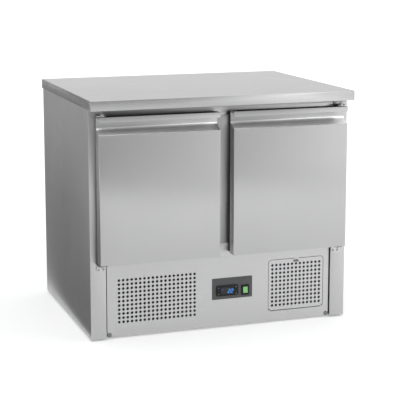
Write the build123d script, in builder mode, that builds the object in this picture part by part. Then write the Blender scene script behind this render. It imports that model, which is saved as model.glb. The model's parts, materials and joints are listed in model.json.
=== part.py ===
import os
from math import atan2, cos, pi, radians, sin, sqrt

from build123d import *

os.makedirs("parts", exist_ok=True)

# Two-door undercounter refrigerator, in millimetres.
# X runs left to right, Y from the door fronts to the back, Z upwards from the floor.
# The origin is on the floor, at the middle of the width and the depth.

# Overall sizes
width = 900.0  # over the worktop
depth = 700.0  # over the worktop
carcass_height = 748.0  # from the underside of the carcass to the worktop
worktop_thickness = 32.0
foot_height = 6.0  # gap under the carcass with the feet screwed right in
side_reveal = 3.0  # worktop past the carcass at each side
rear_reveal = 5.0  # worktop past the carcass at the back

slot_size = (9.0, 2.5)  # two vent slots in the worktop's left skirt
slot_pitch = 28.0
slot_setback = 136.0  # middle of the slots from the worktop's front
slot_depth = 3.0

# Sheet metal
sheet = 1.0
worktop_sheet = 1.2
tray_sheet = 1.5
flange = 20.0  # turned-in edges of the carcass sheets

# Base with the machine compartment
base_height = 240.0
sill_reveal = 14.0  # sill seen between the base panel and the doors
header_reveal = 20.0  # header seen between the doors and the worktop
panel_recess = 6.0  # base panel behind the posts
panel_side_gap = 4.0
panel_edge_gap = 1.0
panel_flange = 15.0

# Doors
door_side_inset = 24.0
door_gap = 46.0
door_thickness = 36.0
door_liner_thickness = 2.0
door_liner_swell = 8.0
door_bend = 2.0  # outside radius of the door's folded front edges

# Full-width grip along the top of each door
grip_height = 57.0  # from the front edge of the ledge to the top of the door
grip_depth = 31.0
ledge_rise = 16.0
ledge_thickness = 2.4
ledge_bend = 12.0
lip_height = 17.0
lip_thickness = 3.0
grip_roof = 6.0

# Black closing strip along the top of the door, between the end walls of the grip
top_strip_thickness = 2.0
top_strip_ends = (25.0, 12.0)  # short of the door at its hinge side and its free side

# Door gasket
gasket_depth = 14.0  # door back to post face
gasket_width = 12.0
gasket_hinge_inset = 18.0  # clears the post as the door turns
gasket_free_inset = 2.0
gasket_top_inset = 2.0
gasket_bottom_inset = 2.0
seat_margin = 1.0
door_clearance = 0.3

# Hinges
pivot_inset = 16.0  # from the door's outer edge
pivot_depth = 18.0  # from the door's front
pin_diameter = 8.0
pin_head_diameter = 13.0
pin_head_height = 4.0
pin_head_sides = 6
pin_reach = 16.0  # lower pin inside the door
pin_clearance = 0.05
bush_diameter = 12.0
bush_flange_diameter = 18.0
bush_length = 18.0
bush_sides = 12
bracket_width = 31.0
bracket_thickness = 3.0
bracket_drop = 29.0
bracket_corner = 9.0
lower_hinge_gap = 4.0
upper_hinge_gap = 1.5

# Insulation and chamber
rear_insulation = 48.0
mullion_depth = 60.0

# Perforations
hole_size = 7.0  # as a round hole
hole_sides = 4
hole_pitch_x = 14.35
hole_rows = 11
hole_row_margin = 18.0  # outer rows from the hatch's top and bottom
grille_columns = 19
grille_edge_margin = 40.3  # first hole centre from the panel's edge
grille_drop = 5.0  # middle of the inlet holes below the middle of the hatch

# Service hatch
hatch_width = 199.0
hatch_top_margin = 29.0  # hatch top to the top of the base
hatch_corner = 10.0
hatch_margin = 21.0  # from the panel's right edge
hatch_bottom_height = 36.0
hatch_seam = 1.0
hatch_columns = 13
hatch_return = 8.0
knuckle_radius = 2.5
hatch_pin_radius = 1.5
knuckle_inset = 6.5  # knuckle shorter than the hatch, at each end
hatch_lug = 3.0
catch_width = 20.0
tab_size = (16.0, 5.0, 6.0)
tab_drop = 8.0

# Control plate
plate_size = (142.0, 2.0, 72.0)
plate_centre_x = 40.0
plate_centre_height = 129.0
plate_margin = 8.0
controller_offset = (-19.0, -6.5)
controller_bezel = (78.0, 4.0, 35.0)
controller_case = (71.0, 55.0, 29.0)
controller_corner = 6.0
display_size = (44.0, 0.8, 21.0)
display_recess = 1.0
button_size = (8.0, 3.2, 5.0)
button_reach = (31.0, 11.0)  # button centres from the controller's centre
button_travel = 0.6
button_proud = 0.9
button_gap = 0.3
switch_offset = (45.0, -9.5)
switch_bezel = (27.0, 3.0, 34.0)
switch_case = (23.4, 22.0, 29.4)
switch_well = (20.6, 16.0, 26.6)
rocker_size = (20.0, 24.8)
rocker_front = 3.5
rocker_dip = 1.2
rocker_back = 5.0
rocker_taper = 3.0
rocker_tilt = 6.0
rocker_axis_depth = 1.5  # behind the bezel's front

# Panel fixings
cap_diameter = 15.0
cap_height = 3.0
cap_shank_radius = 3.0
cap_shank_length = 9.0
cap_sides = 20
shank_sides = 8

# Shelves
shelf_height = 190.0  # above the chamber floor
shelf_bar = 6.0
shelf_wire = 3.0
shelf_wires = 13
shelf_gap = 12.0  # between a shelf and the middle of the chamber
shelf_play = 3.0
pilaster_thickness = 6.0
pilaster_width = 20.0
pilaster_inset = 60.0
pilaster_end_gap = 10.0
clip_reach = 15.0
clip_width = 14.0
clip_height = 8.0

# Evaporator, inside the chamber
evaporator_size = (300.0, 80.0, 160.0)
evaporator_top_gap = 14.0
evaporator_fan_radius = 62.0
evaporator_coil_depth = 30.0
evaporator_motor_radius = 18.0
evaporator_motor_length = 20.0
evaporator_blade_depth = 12.0
guard_bar = 6.0

# Condensing unit, in the base
condenser_size = (208.0, 36.0, 206.0)
condenser_setback = 32.0
shroud_depth = 46.0
condenser_fan_radius = 78.0
fin_pitch = 16.0
fin_groove = 2.0
fin_depth = 6.0
end_plate = 1.5
motor_radius = 36.0
motor_length = 44.0
shaft_radius = 4.0
shaft_clearance = 0.05
fan_gap = 8.0
blade_depth = 22.0
blade_count = 5
hub_sides = 15
motor_sides = 20
throat_sides = 32
compressor_centre = (-70.0, 70.0)
compressor_radius = 78.0
compressor_height = 165.0
shell_sides = 20
seam_height = 4.0
seam_proud = 3.0
compressor_foot = (224.0, 164.0, 3.0)
mount_height = 14.0
mount_radius = 13.0
mount_sides = 8
pipe_radius = 4.0
pipe_bend = 20.0
pipe_sides = 6
pipe_level = 214.0
drier_drop = 12.0  # from the tray to the drier's shell
drier_radius = 11.0
drier_length = 90.0
electrical_box_size = (120.0, 130.0, 100.0)

# Rear grille
rear_grille_size = (460.0, 170.0)
rear_grille_lap = 12.0
rear_grille_height = 120.0
louvre_size = (180.0, 6.0)
louvre_rows = 8
louvre_pitch = 16.0

# Feet
foot_inset = 50.0
foot_radius = 19.0
foot_stem_radius = 5.0
foot_stem_length = 28.0
foot_boss_radius = 10.0
foot_boss_height = 12.0
foot_setback = 60.0
foot_sides = 6
stem_sides = 8
pad_relief = 0.4

# Places that follow from the sizes
carcass_side = width / 2 - side_reveal
carcass_back = depth / 2 - rear_reveal
carcass_base = foot_height
carcass_top = carcass_base + carcass_height
total_height = carcass_top + worktop_thickness
door_front = -depth / 2
door_back = door_front + door_thickness
post_face = door_back + gasket_depth
door_width = (width - 2 * door_side_inset - door_gap) / 2
deck_bottom = carcass_base + base_height
door_bottom = deck_bottom + sill_reveal
door_top = carcass_top - header_reveal
door_height = door_top - door_bottom
door_overlap = gasket_hinge_inset + gasket_width + seat_margin
opening_side = width / 2 - door_side_inset - door_overlap
opening_bottom = door_bottom + door_overlap
opening_top = door_top - gasket_top_inset - gasket_width - seat_margin
opening_height = opening_top - opening_bottom
mullion_width = door_gap + 2 * door_overlap
chamber_front = post_face + flange
rear_panel_front = carcass_back - 2 * sheet
chamber_back = rear_panel_front - rear_insulation - sheet
inside_side = carcass_side - sheet
tray_top = carcass_base + tray_sheet
panel_face = post_face + panel_recess
panel_side = opening_side - panel_side_gap
panel_bottom = carcass_base + panel_edge_gap
panel_height = base_height - 2 * panel_edge_gap
panel_middle = panel_bottom + panel_height / 2
base_front = panel_face + panel_flange
pivot_x = width / 2 - door_side_inset - pivot_inset
pivot_y = door_front + pivot_depth
hatch_bottom = carcass_base + hatch_bottom_height
hatch_height = base_height - hatch_bottom_height - hatch_top_margin
hole_pitch_z = (hatch_height - 2 * hole_row_margin) / (hole_rows - 1)
hole_reach = hole_size / 2 * sqrt(2 * pi / (hole_sides * sin(2 * pi / hole_sides)))


def facing(y):
    """Sketch plane at depth y that faces the front, with +X to the right and Z up."""
    return Plane.XZ.offset(-y)


def save(piece, name):
    """Label a finished piece and write it under its own name."""
    piece.part.label = name
    export_step(piece.part, f"parts/{name}.step")


def block(x, y, z):
    """Box between two limits along each axis, added to the part being built."""
    middle = ((x[0] + x[1]) / 2, (y[0] + y[1]) / 2, (z[0] + z[1]) / 2)
    with Locations(middle):
        Box(x[1] - x[0], y[1] - y[0], z[1] - z[0])


def cut_block(x, y, z):
    """Box between two limits along each axis, cut from the part being built."""
    middle = ((x[0] + x[1]) / 2, (y[0] + y[1]) / 2, (z[0] + z[1]) / 2)
    with Locations(middle):
        Box(x[1] - x[0], y[1] - y[0], z[1] - z[0], mode=Mode.SUBTRACT)


# Worktop: a folded tray of thick sheet over a board core
with BuildPart() as worktop_skin:
    block((-width / 2, width / 2), (-depth / 2, depth / 2), (carcass_top, total_height))
    top_edges = worktop_skin.edges().group_by(Axis.Z)[-1]
    fillet(top_edges, radius=worktop_sheet)
    cut_block(
        (-width / 2 + worktop_sheet, width / 2 - worktop_sheet),
        (-depth / 2 + worktop_sheet, depth / 2 - worktop_sheet),
        (carcass_top, total_height - worktop_sheet),
    )
    with Locations((-width / 2, -depth / 2 + slot_setback, carcass_top + worktop_thickness / 2)):
        with GridLocations(1, slot_pitch, 1, 2):
            Box(2 * slot_depth, *slot_size, mode=Mode.SUBTRACT)
save(worktop_skin, "worktop_skin")

with BuildPart() as worktop_core:
    block(
        (-width / 2 + worktop_sheet, width / 2 - worktop_sheet),
        (-depth / 2 + worktop_sheet, depth / 2 - worktop_sheet),
        (carcass_top, total_height - worktop_sheet),
    )
    with Locations((-width / 2, -depth / 2 + slot_setback, carcass_top + worktop_thickness / 2)):
        with GridLocations(1, slot_pitch, 1, 2):
            Box(2 * slot_depth, *slot_size, mode=Mode.SUBTRACT)
save(worktop_core, "worktop_core")


# Side panels: one sheet each, folded into the front post, its jamb and a rear return
def side_panel(side):
    with BuildPart() as panel:
        with BuildSketch(Plane.XY.offset(carcass_base)) as outline:
            with BuildLine():
                Polyline(
                    (-opening_side, chamber_front),
                    (-opening_side, post_face),
                    (-carcass_side, post_face),
                    (-carcass_side, carcass_back),
                    (-carcass_side + flange, carcass_back),
                )
                offset(amount=sheet, side=Side.RIGHT, kind=Kind.INTERSECTION)
            make_face()
            if side > 0:
                mirror(about=Plane.YZ, mode=Mode.REPLACE)
        extrude(amount=carcass_height)
    return panel


left_side_panel = side_panel(-1)
save(left_side_panel, "left_side_panel")
right_side_panel = side_panel(1)
save(right_side_panel, "right_side_panel")

# Header over the doors and sill under them, each with a turned edge towards the chamber
with BuildPart() as frame_rails:
    with BuildSketch(Plane.YZ.offset(-opening_side)) as rail_sections:
        with BuildLine():
            Polyline((post_face, carcass_top), (post_face, opening_top), (chamber_front, opening_top))
            offset(amount=sheet, side=Side.LEFT, kind=Kind.INTERSECTION)
        make_face()
        with BuildLine():
            Polyline(
                (chamber_front, deck_bottom),
                (post_face, deck_bottom),
                (post_face, opening_bottom),
                (chamber_front, opening_bottom),
            )
            offset(amount=sheet, side=Side.RIGHT, kind=Kind.INTERSECTION)
        make_face()
    extrude(amount=2 * opening_side)
save(frame_rails, "frame_rails")

with BuildPart() as centre_mullion:
    with BuildSketch(Plane.XY.offset(opening_bottom)) as mullion_section:
        with BuildLine():
            Polyline(
                (-mullion_width / 2, post_face + mullion_depth),
                (-mullion_width / 2, post_face),
                (mullion_width / 2, post_face),
                (mullion_width / 2, post_face + mullion_depth),
            )
            offset(amount=sheet, side=Side.LEFT, kind=Kind.INTERSECTION)
        make_face()
    extrude(amount=opening_height)
save(centre_mullion, "centre_mullion")

# Foam slabs between the outer sheets and the chamber lining
with BuildPart() as insulation:
    slab_depth = (post_face + sheet, rear_panel_front)
    deck_top = deck_bottom + sheet
    for inner, outer in ((-opening_side - sheet, -inside_side), (opening_side + sheet, inside_side)):
        block(sorted((inner, outer)), slab_depth, (deck_top, carcass_top))
    block((-opening_side, opening_side), slab_depth, (deck_top, opening_bottom - sheet))
    block((-opening_side, opening_side), slab_depth, (opening_top + sheet, carcass_top))
    block(
        (-opening_side - sheet, opening_side + sheet),
        (chamber_back + sheet, rear_panel_front),
        (opening_bottom - sheet, opening_top + sheet),
    )
    block(
        (-mullion_width / 2 + sheet, mullion_width / 2 - sheet),
        (post_face + sheet, post_face + mullion_depth),
        (opening_bottom, opening_top),
    )
save(insulation, "insulation")

with BuildPart() as inner_liner:
    block(
        (-opening_side - sheet, opening_side + sheet),
        (chamber_front, chamber_back + sheet),
        (opening_bottom - sheet, opening_top + sheet),
    )
    cut_block(
        (-opening_side, opening_side),
        (chamber_front, chamber_back),
        (opening_bottom, opening_top),
    )
save(inner_liner, "inner_liner")

with BuildPart() as machine_deck:
    block((-inside_side, inside_side), (chamber_front, rear_panel_front), (deck_bottom, deck_bottom + sheet))
save(machine_deck, "machine_deck")

# Feet: pads on threaded stems, screwed into bosses of the base tray
foot_places = {
    "front_left": (-carcass_side + foot_inset, post_face + foot_setback),
    "front_right": (carcass_side - foot_inset, post_face + foot_setback),
    "rear_left": (-carcass_side + foot_inset, carcass_back - foot_setback),
    "rear_right": (carcass_side - foot_inset, carcass_back - foot_setback),
}

with BuildPart() as base_tray:
    tray_width = (-inside_side, inside_side)
    tray_depth = (base_front, rear_panel_front)
    block(tray_width, tray_depth, (carcass_base, tray_top + flange))
    cut_block(
        (tray_width[0] + tray_sheet, tray_width[1] - tray_sheet),
        (tray_depth[0] + tray_sheet, tray_depth[1] - tray_sheet),
        (tray_top, tray_top + flange),
    )
    with BuildSketch(Plane.XY.offset(tray_top)):
        with Locations(*foot_places.values()):
            RegularPolygon(foot_boss_radius, foot_sides)
    extrude(amount=foot_boss_height)
    with BuildSketch(Plane.XY.offset(carcass_base)):
        with Locations(*foot_places.values()):
            RegularPolygon(foot_stem_radius, stem_sides)
    extrude(amount=tray_sheet + foot_boss_height, mode=Mode.SUBTRACT)
save(base_tray, "base_tray")

for corner, place in foot_places.items():
    with BuildPart() as foot:
        with BuildSketch():
            with Locations(place):
                RegularPolygon(foot_radius, foot_sides)
        extrude(amount=foot_height - pad_relief)
        chamfer(foot.edges().group_by(Axis.Z)[0], length=pad_relief)
        with BuildSketch(Plane.XY.offset(foot_height - pad_relief)):
            with Locations(place):
                RegularPolygon(foot_stem_radius - pin_clearance, stem_sides)
        extrude(amount=foot_stem_length)
    save(foot, f"foot_{corner}")

# Back of the carcass, with an opening behind the machine compartment
grille_width, grille_height = rear_grille_size
grille_middle = carcass_base + rear_grille_height
with BuildPart() as rear_panel:
    block((-inside_side, inside_side), (rear_panel_front, rear_panel_front + sheet), (carcass_base, carcass_top))
    with BuildSketch(facing(rear_panel_front)):
        with Locations((0, grille_middle)):
            Rectangle(grille_width - 2 * rear_grille_lap, grille_height - 2 * rear_grille_lap)
    extrude(amount=-sheet, mode=Mode.SUBTRACT)
save(rear_panel, "rear_panel")

with BuildPart() as rear_grille:
    with BuildSketch(facing(rear_panel_front + sheet)):
        with Locations((0, grille_middle)):
            Rectangle(grille_width, grille_height)
            with GridLocations(grille_width / 2 - rear_grille_lap, louvre_pitch, 2, louvre_rows):
                Rectangle(*louvre_size, mode=Mode.SUBTRACT)
    extrude(amount=-sheet)
save(rear_grille, "rear_grille")

# Base panel: perforated air inlet at the left, hatch opening at the right
hatch_x = panel_side - hatch_margin - hatch_width / 2
hatch_z = hatch_bottom + hatch_height / 2
grille_x = -panel_side + grille_edge_margin + (grille_columns - 1) * hole_pitch_x / 2
grille_z = hatch_z - grille_drop
plate_z = carcass_base + plate_centre_height
cap_x = panel_side - cap_diameter / 2
cap_z = panel_bottom + cap_diameter / 2

with BuildPart() as base_front_panel:
    with BuildSketch(facing(panel_face)):
        with Locations((0, panel_middle)):
            Rectangle(2 * panel_side, panel_height)
        with Locations((hatch_x, hatch_z)):
            RectangleRounded(
                hatch_width + 2 * hatch_seam,
                hatch_height + 2 * hatch_seam,
                hatch_corner + hatch_seam,
                mode=Mode.SUBTRACT,
            )
        with Locations((plate_centre_x, plate_z)):
            Rectangle(plate_size[0] - 2 * plate_margin, plate_size[2] - 2 * plate_margin, mode=Mode.SUBTRACT)
        with Locations((-cap_x, cap_z), (cap_x, cap_z)):
            RegularPolygon(cap_shank_radius, shank_sides, mode=Mode.SUBTRACT)
        with Locations((grille_x, grille_z)):
            with GridLocations(hole_pitch_x, hole_pitch_z, grille_columns, hole_rows):
                RegularPolygon(hole_reach, hole_sides, rotation=180 / hole_sides, mode=Mode.SUBTRACT)
    extrude(amount=-sheet)
    with BuildSketch(facing(panel_face + sheet)):
        with Locations((0, panel_middle)):
            Rectangle(2 * panel_side, panel_height)
            Rectangle(2 * (panel_side - sheet), panel_height - 2 * sheet, mode=Mode.SUBTRACT)
    extrude(amount=-(panel_flange - sheet))
save(base_front_panel, "base_front_panel")

with BuildPart() as panel_fixings:
    with BuildSketch(facing(panel_face)):
        with Locations((-cap_x, cap_z), (cap_x, cap_z)):
            RegularPolygon(cap_diameter / 2, cap_sides)
    extrude(amount=cap_height)
    with BuildSketch(facing(panel_face)):
        with Locations((-cap_x, cap_z), (cap_x, cap_z)):
            RegularPolygon(cap_shank_radius, shank_sides)
    extrude(amount=-cap_shank_length)
save(panel_fixings, "panel_fixings")

# Service hatch: a perforated flap that drops forward on a hinge along its bottom edge
hinge_y = panel_face + knuckle_radius
hinge_z = hatch_bottom + knuckle_radius
knuckle_length = hatch_width - 2 * knuckle_inset

with BuildPart() as service_hatch:
    with BuildSketch(facing(panel_face)):
        with Locations((hatch_x, hatch_z)):
            RectangleRounded(hatch_width, hatch_height, hatch_corner)
            with GridLocations(hole_pitch_x, hole_pitch_z, hatch_columns, hole_rows):
                RegularPolygon(hole_reach, hole_sides, rotation=180 / hole_sides, mode=Mode.SUBTRACT)
        with Locations((hatch_x, hatch_bottom + knuckle_radius / 2)):
            Rectangle(hatch_width, knuckle_radius, mode=Mode.SUBTRACT)
        with Locations(
            (hatch_x - hatch_width / 2 + knuckle_inset / 2, hatch_bottom + knuckle_radius),
            (hatch_x + hatch_width / 2 - knuckle_inset / 2, hatch_bottom + knuckle_radius),
        ):
            Rectangle(knuckle_inset, 3 * knuckle_radius, mode=Mode.SUBTRACT)
    extrude(amount=-sheet)
    with BuildSketch(Plane.YZ.offset(hatch_x - knuckle_length / 2)):
        with Locations((hinge_y, hinge_z)):
            Circle(knuckle_radius)
            Circle(hatch_pin_radius + pin_clearance, mode=Mode.SUBTRACT)
    extrude(amount=knuckle_length)
    return_z = (hatch_bottom + hatch_corner, hatch_bottom + hatch_height - hatch_corner)
    for edge in (hatch_x - hatch_width / 2, hatch_x + hatch_width / 2 - sheet):
        block((edge, edge + sheet), (panel_face + sheet, panel_face + hatch_return), return_z)
save(service_hatch, "service_hatch")

with BuildPart() as hatch_tab:
    tab_z = hatch_bottom + hatch_height - tab_drop
    block(
        (hatch_x - tab_size[0] / 2, hatch_x + tab_size[0] / 2),
        (panel_face - tab_size[1], panel_face),
        (tab_z - tab_size[2] / 2, tab_z + tab_size[2] / 2),
    )
    chamfer(hatch_tab.edges().group_by(Axis.Y)[0], length=1)
save(hatch_tab, "hatch_tab")

# Two lugs with pins carry the hatch, and a magnet holds its top edge
with BuildPart() as hatch_hardware:
    lug_foot = hatch_bottom - 4 * hatch_lug
    for side in (-1, 1):
        lug_inner = hatch_x + side * (knuckle_length / 2 + door_clearance)
        lug_x = sorted((lug_inner, lug_inner + side * hatch_lug))
        pin_x = sorted((lug_inner, lug_inner - side * (hatch_lug * 2)))
        block(lug_x, (panel_face + sheet, hinge_y + knuckle_radius), (lug_foot, hinge_z))
        with BuildSketch(Plane.YZ.offset(lug_x[0])):
            with Locations((hinge_y, hinge_z)):
                Circle(hinge_y - panel_face - sheet)
        extrude(amount=hatch_lug)
        with BuildSketch(Plane.YZ.offset(pin_x[0])):
            with Locations((hinge_y, hinge_z)):
                Circle(hatch_pin_radius)
        extrude(amount=pin_x[1] - pin_x[0])
    hatch_top = hatch_bottom + hatch_height
    with BuildSketch(Plane.YZ.offset(hatch_x - catch_width / 2)):
        with BuildLine():
            Polyline(
                (panel_face + sheet, hatch_top + 2 * hatch_seam),
                (panel_face + sheet, hatch_top + 4 * hatch_lug),
                (panel_face + sheet + hatch_return, hatch_top + 4 * hatch_lug),
                (panel_face + sheet + hatch_return, hatch_top - 3 * hatch_lug),
                (panel_face + sheet + door_clearance, hatch_top - 3 * hatch_lug),
                (panel_face + sheet + door_clearance, hatch_top + 2 * hatch_seam),
                close=True,
            )
        make_face()
    extrude(amount=catch_width)
save(hatch_hardware, "hatch_hardware")

# Control plate with a temperature controller and a lit rocker switch
plate_front = panel_face - plate_size[1]
controller_x = plate_centre_x + controller_offset[0]
controller_z = plate_z + controller_offset[1]
switch_x = plate_centre_x + switch_offset[0]
switch_z = plate_z + switch_offset[1]
controller_front = plate_front - controller_bezel[1]

with BuildPart() as control_plate:
    with BuildSketch(facing(panel_face)):
        with Locations((plate_centre_x, plate_z)):
            RectangleRounded(plate_size[0], plate_size[2], 2)
        with Locations((controller_x, controller_z)):
            Rectangle(controller_case[0], controller_case[2], mode=Mode.SUBTRACT)
        with Locations((switch_x, switch_z)):
            Rectangle(switch_case[0], switch_case[2], mode=Mode.SUBTRACT)
    extrude(amount=plate_size[1])
save(control_plate, "control_plate")

button_places = {
    "up": (-button_reach[0], button_reach[1]),
    "down": (-button_reach[0], -button_reach[1]),
    "defrost": (button_reach[0], button_reach[1]),
    "set": (button_reach[0], -button_reach[1]),
}

with BuildPart() as controller_body:
    with BuildSketch(facing(plate_front)):
        with Locations((controller_x, controller_z)):
            RectangleRounded(controller_bezel[0], controller_bezel[2], controller_corner)
    extrude(amount=controller_bezel[1])
    with BuildSketch(facing(plate_front)):
        with Locations((controller_x, controller_z)):
            Rectangle(controller_case[0], controller_case[2])
    extrude(amount=-controller_case[1])
    with BuildSketch(facing(controller_front)):
        with Locations((controller_x, controller_z)):
            Rectangle(display_size[0], display_size[2])
    extrude(amount=-display_recess, mode=Mode.SUBTRACT)
    with BuildSketch(facing(controller_front)):
        with Locations((controller_x, controller_z)):
            with Locations(*button_places.values()):
                Rectangle(button_size[0] + 2 * button_gap, button_size[2] + 2 * button_gap)
    extrude(amount=-(button_size[1] - button_proud + button_travel + button_gap), mode=Mode.SUBTRACT)
save(controller_body, "controller_body")

with BuildPart() as controller_display:
    with BuildSketch(facing(controller_front + display_recess)):
        with Locations((controller_x, controller_z)):
            Rectangle(display_size[0], display_size[2])
    extrude(amount=display_size[1])
save(controller_display, "controller_display")

for label, (reach_x, reach_z) in button_places.items():
    with BuildPart() as button:
        with BuildSketch(facing(controller_front - button_proud)):
            with Locations((controller_x + reach_x, controller_z + reach_z)):
                Rectangle(button_size[0], button_size[2])
        extrude(amount=-button_size[1])
        chamfer(button.edges().group_by(Axis.Y)[0], length=0.4)
    save(button, f"button_{label}")

switch_front = plate_front - switch_bezel[1]
with BuildPart() as switch_body:
    with BuildSketch(facing(plate_front)):
        with Locations((switch_x, switch_z)):
            RectangleRounded(switch_bezel[0], switch_bezel[2], 2)
    extrude(amount=switch_bezel[1])
    with BuildSketch(facing(plate_front)):
        with Locations((switch_x, switch_z)):
            Rectangle(switch_case[0], switch_case[2])
    extrude(amount=-switch_case[1])
    with BuildSketch(facing(switch_front)):
        with Locations((switch_x, switch_z)):
            Rectangle(switch_well[0], switch_well[2])
    extrude(amount=-switch_well[1], mode=Mode.SUBTRACT)
save(switch_body, "switch_body")

# The rocker is drawn about its pivot and rests with its top edge pressed in
rocker_y = switch_front + rocker_axis_depth
rocker_plane = Plane(
    origin=(switch_x - rocker_size[0] / 2, rocker_y, switch_z),
    x_dir=(0, cos(radians(rocker_tilt)), -sin(radians(rocker_tilt))),
    z_dir=(1, 0, 0),
)
with BuildPart() as switch_rocker:
    with BuildSketch(rocker_plane):
        half_rocker = rocker_size[1] / 2
        with BuildLine():
            Polyline(
                (-rocker_front, -half_rocker),
                (-rocker_front + rocker_dip, 0),
                (-rocker_front, half_rocker),
                (-1, half_rocker),
                (rocker_back, half_rocker - rocker_taper),
                (rocker_back, -half_rocker + rocker_taper),
                (-1, -half_rocker),
                close=True,
            )
        make_face()
    extrude(amount=rocker_size[0])
save(switch_rocker, "switch_rocker")


# Doors
def ledge(distance_back):
    """Height of the grip's sloping ledge, a distance back from the door's front."""
    return door_top - grip_height + ledge_rise * distance_back / grip_depth


def door_outline(inset):
    """Outline of the door's box below the grip, inset by the sheet at its front and bottom."""
    box_depth = door_thickness - door_liner_thickness
    return (
        (door_front + inset, door_bottom + inset),
        (door_front + inset, ledge(inset) - ledge_thickness),
        (door_front + box_depth, ledge(box_depth) - ledge_thickness),
        (door_front + box_depth, door_bottom + inset),
    )


def make_door(name, left, hinge_x):
    right = left + door_width
    middle = (left + right) / 2
    box_back = door_back - door_liner_thickness
    insets = {"strip": top_strip_ends, "gasket": (gasket_hinge_inset, gasket_free_inset)}
    if hinge_x > middle:
        insets = {part: sides[::-1] for part, sides in insets.items()}
    strip_x = (left + insets["strip"][0], right - insets["strip"][1])
    strip_y = (door_front + lip_thickness, box_back)
    strip_z = (door_top - top_strip_thickness, door_top)

    with BuildPart() as skin:
        with BuildSketch(Plane.YZ.offset(left)):
            with BuildLine():
                Polyline(*door_outline(0), close=True)
            make_face()
        extrude(amount=door_width)
        front_edges = skin.edges().filter_by(Axis.Z).group_by(Axis.Y)[0]
        fillet(front_edges, radius=door_bend)
        with BuildSketch(Plane.YZ.offset(left + sheet)):
            with BuildLine():
                Polyline(*door_outline(sheet), close=True)
            make_face()
        extrude(amount=door_width - 2 * sheet, mode=Mode.SUBTRACT)
        with BuildSketch(Plane.XY.offset(door_bottom)):
            with Locations((hinge_x, pivot_y)):
                RegularPolygon(bush_diameter / 2, bush_sides)
        extrude(amount=sheet, mode=Mode.SUBTRACT)
    save(skin, f"{name}_skin")

    with BuildPart() as handle:
        with BuildSketch(Plane.YZ.offset(left)) as section:
            grip_back = door_front + grip_depth
            roof = door_top - grip_roof
            lip_bottom = door_top - lip_height
            with BuildLine():
                Polyline(
                    (door_front, ledge(0)),
                    (grip_back, ledge(grip_depth)),
                    (grip_back, roof),
                    (door_front + lip_thickness, roof),
                    (door_front + lip_thickness, lip_bottom),
                    (door_front, lip_bottom),
                    (door_front, door_top),
                    (box_back, door_top),
                    (box_back, ledge(box_back - door_front) - ledge_thickness),
                    (door_front, ledge(0) - ledge_thickness),
                    close=True,
                )
            make_face()
            bend = section.vertices().sort_by_distance((grip_back, ledge(grip_depth)))[0]
            fillet(bend, radius=ledge_bend)
        extrude(amount=door_width)
        with BuildSketch(Plane.XY.offset(roof)):
            with Locations((hinge_x, pivot_y)):
                RegularPolygon(bush_diameter / 2, bush_sides)
        extrude(amount=grip_roof, mode=Mode.SUBTRACT)
        cut_block(strip_x, strip_y, strip_z)
    save(handle, f"{name}_handle")

    with BuildPart() as core:
        with BuildSketch(Plane.YZ.offset(left + sheet)):
            with BuildLine():
                Polyline(*door_outline(sheet), close=True)
            make_face()
        extrude(amount=door_width - 2 * sheet)
        with BuildSketch(Plane.XY.offset(door_bottom + sheet)):
            with Locations((hinge_x, pivot_y)):
                RegularPolygon(bush_diameter / 2, bush_sides)
        extrude(amount=bush_length - sheet, mode=Mode.SUBTRACT)
    save(core, f"{name}_core")

    with BuildPart() as liner:
        block((left, right), (box_back, door_back), (door_bottom, door_top))
        swell_width = door_width - 2 * (door_overlap + seat_margin)
        swell_bottom = door_bottom + door_overlap + seat_margin
        swell_top = opening_top - seat_margin
        with BuildSketch(facing(door_back)) as swell:
            with Locations((middle, (swell_bottom + swell_top) / 2)):
                Rectangle(swell_width, swell_top - swell_bottom)
            chamfer(swell.vertices(), length=door_liner_swell)
        extrude(amount=-door_liner_swell, taper=20)
    save(liner, f"{name}_liner")

    # Four mitred strips of magnetic gasket, and the closing strip in the top of the grip
    with BuildPart() as gasket:
        outer = (left + insets["gasket"][0], right - insets["gasket"][1])
        inner = (outer[0] + gasket_width, outer[1] - gasket_width)
        levels = (door_bottom + gasket_bottom_inset, door_top - gasket_top_inset)
        inner_levels = (levels[0] + gasket_width, levels[1] - gasket_width)
        strips = (
            ((outer[0], levels[0]), (outer[1], levels[0]), (inner[1], inner_levels[0]), (inner[0], inner_levels[0])),
            ((outer[0], levels[1]), (outer[1], levels[1]), (inner[1], inner_levels[1]), (inner[0], inner_levels[1])),
            ((outer[0], levels[0]), (outer[0], levels[1]), (inner[0], inner_levels[1]), (inner[0], inner_levels[0])),
            ((outer[1], levels[0]), (outer[1], levels[1]), (inner[1], inner_levels[1]), (inner[1], inner_levels[0])),
        )
        for corners in strips:
            with BuildSketch(facing(door_back)):
                with BuildLine():
                    Polyline(*corners, close=True)
                make_face()
            extrude(amount=-(gasket_depth - door_clearance), mode=Mode.ADD, clean=False)
        block(strip_x, strip_y, strip_z)
    save(gasket, f"{name}_gasket")

    # Bushes: the lower one has a thick flange that carries the door
    with BuildPart() as bushes:
        bore = pin_diameter / 2 + pin_clearance
        lower_flange = lower_hinge_gap - door_clearance
        with BuildSketch(Plane.XY.offset(door_bottom - lower_flange)):
            with Locations((hinge_x, pivot_y)):
                RegularPolygon(bush_flange_diameter / 2, bush_sides)
                Circle(bore, mode=Mode.SUBTRACT)
        extrude(amount=lower_flange)
        with BuildSketch(Plane.XY.offset(door_bottom)):
            with Locations((hinge_x, pivot_y)):
                RegularPolygon(bush_diameter / 2, bush_sides)
                Circle(bore, mode=Mode.SUBTRACT)
        extrude(amount=bush_length)
        with BuildSketch(Plane.XY.offset(door_top - grip_roof)):
            with Locations((hinge_x, pivot_y)):
                RegularPolygon(bush_diameter / 2, bush_sides)
                Circle(bore, mode=Mode.SUBTRACT)
        extrude(amount=grip_roof)
    save(bushes, f"{name}_bushes")


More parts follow.
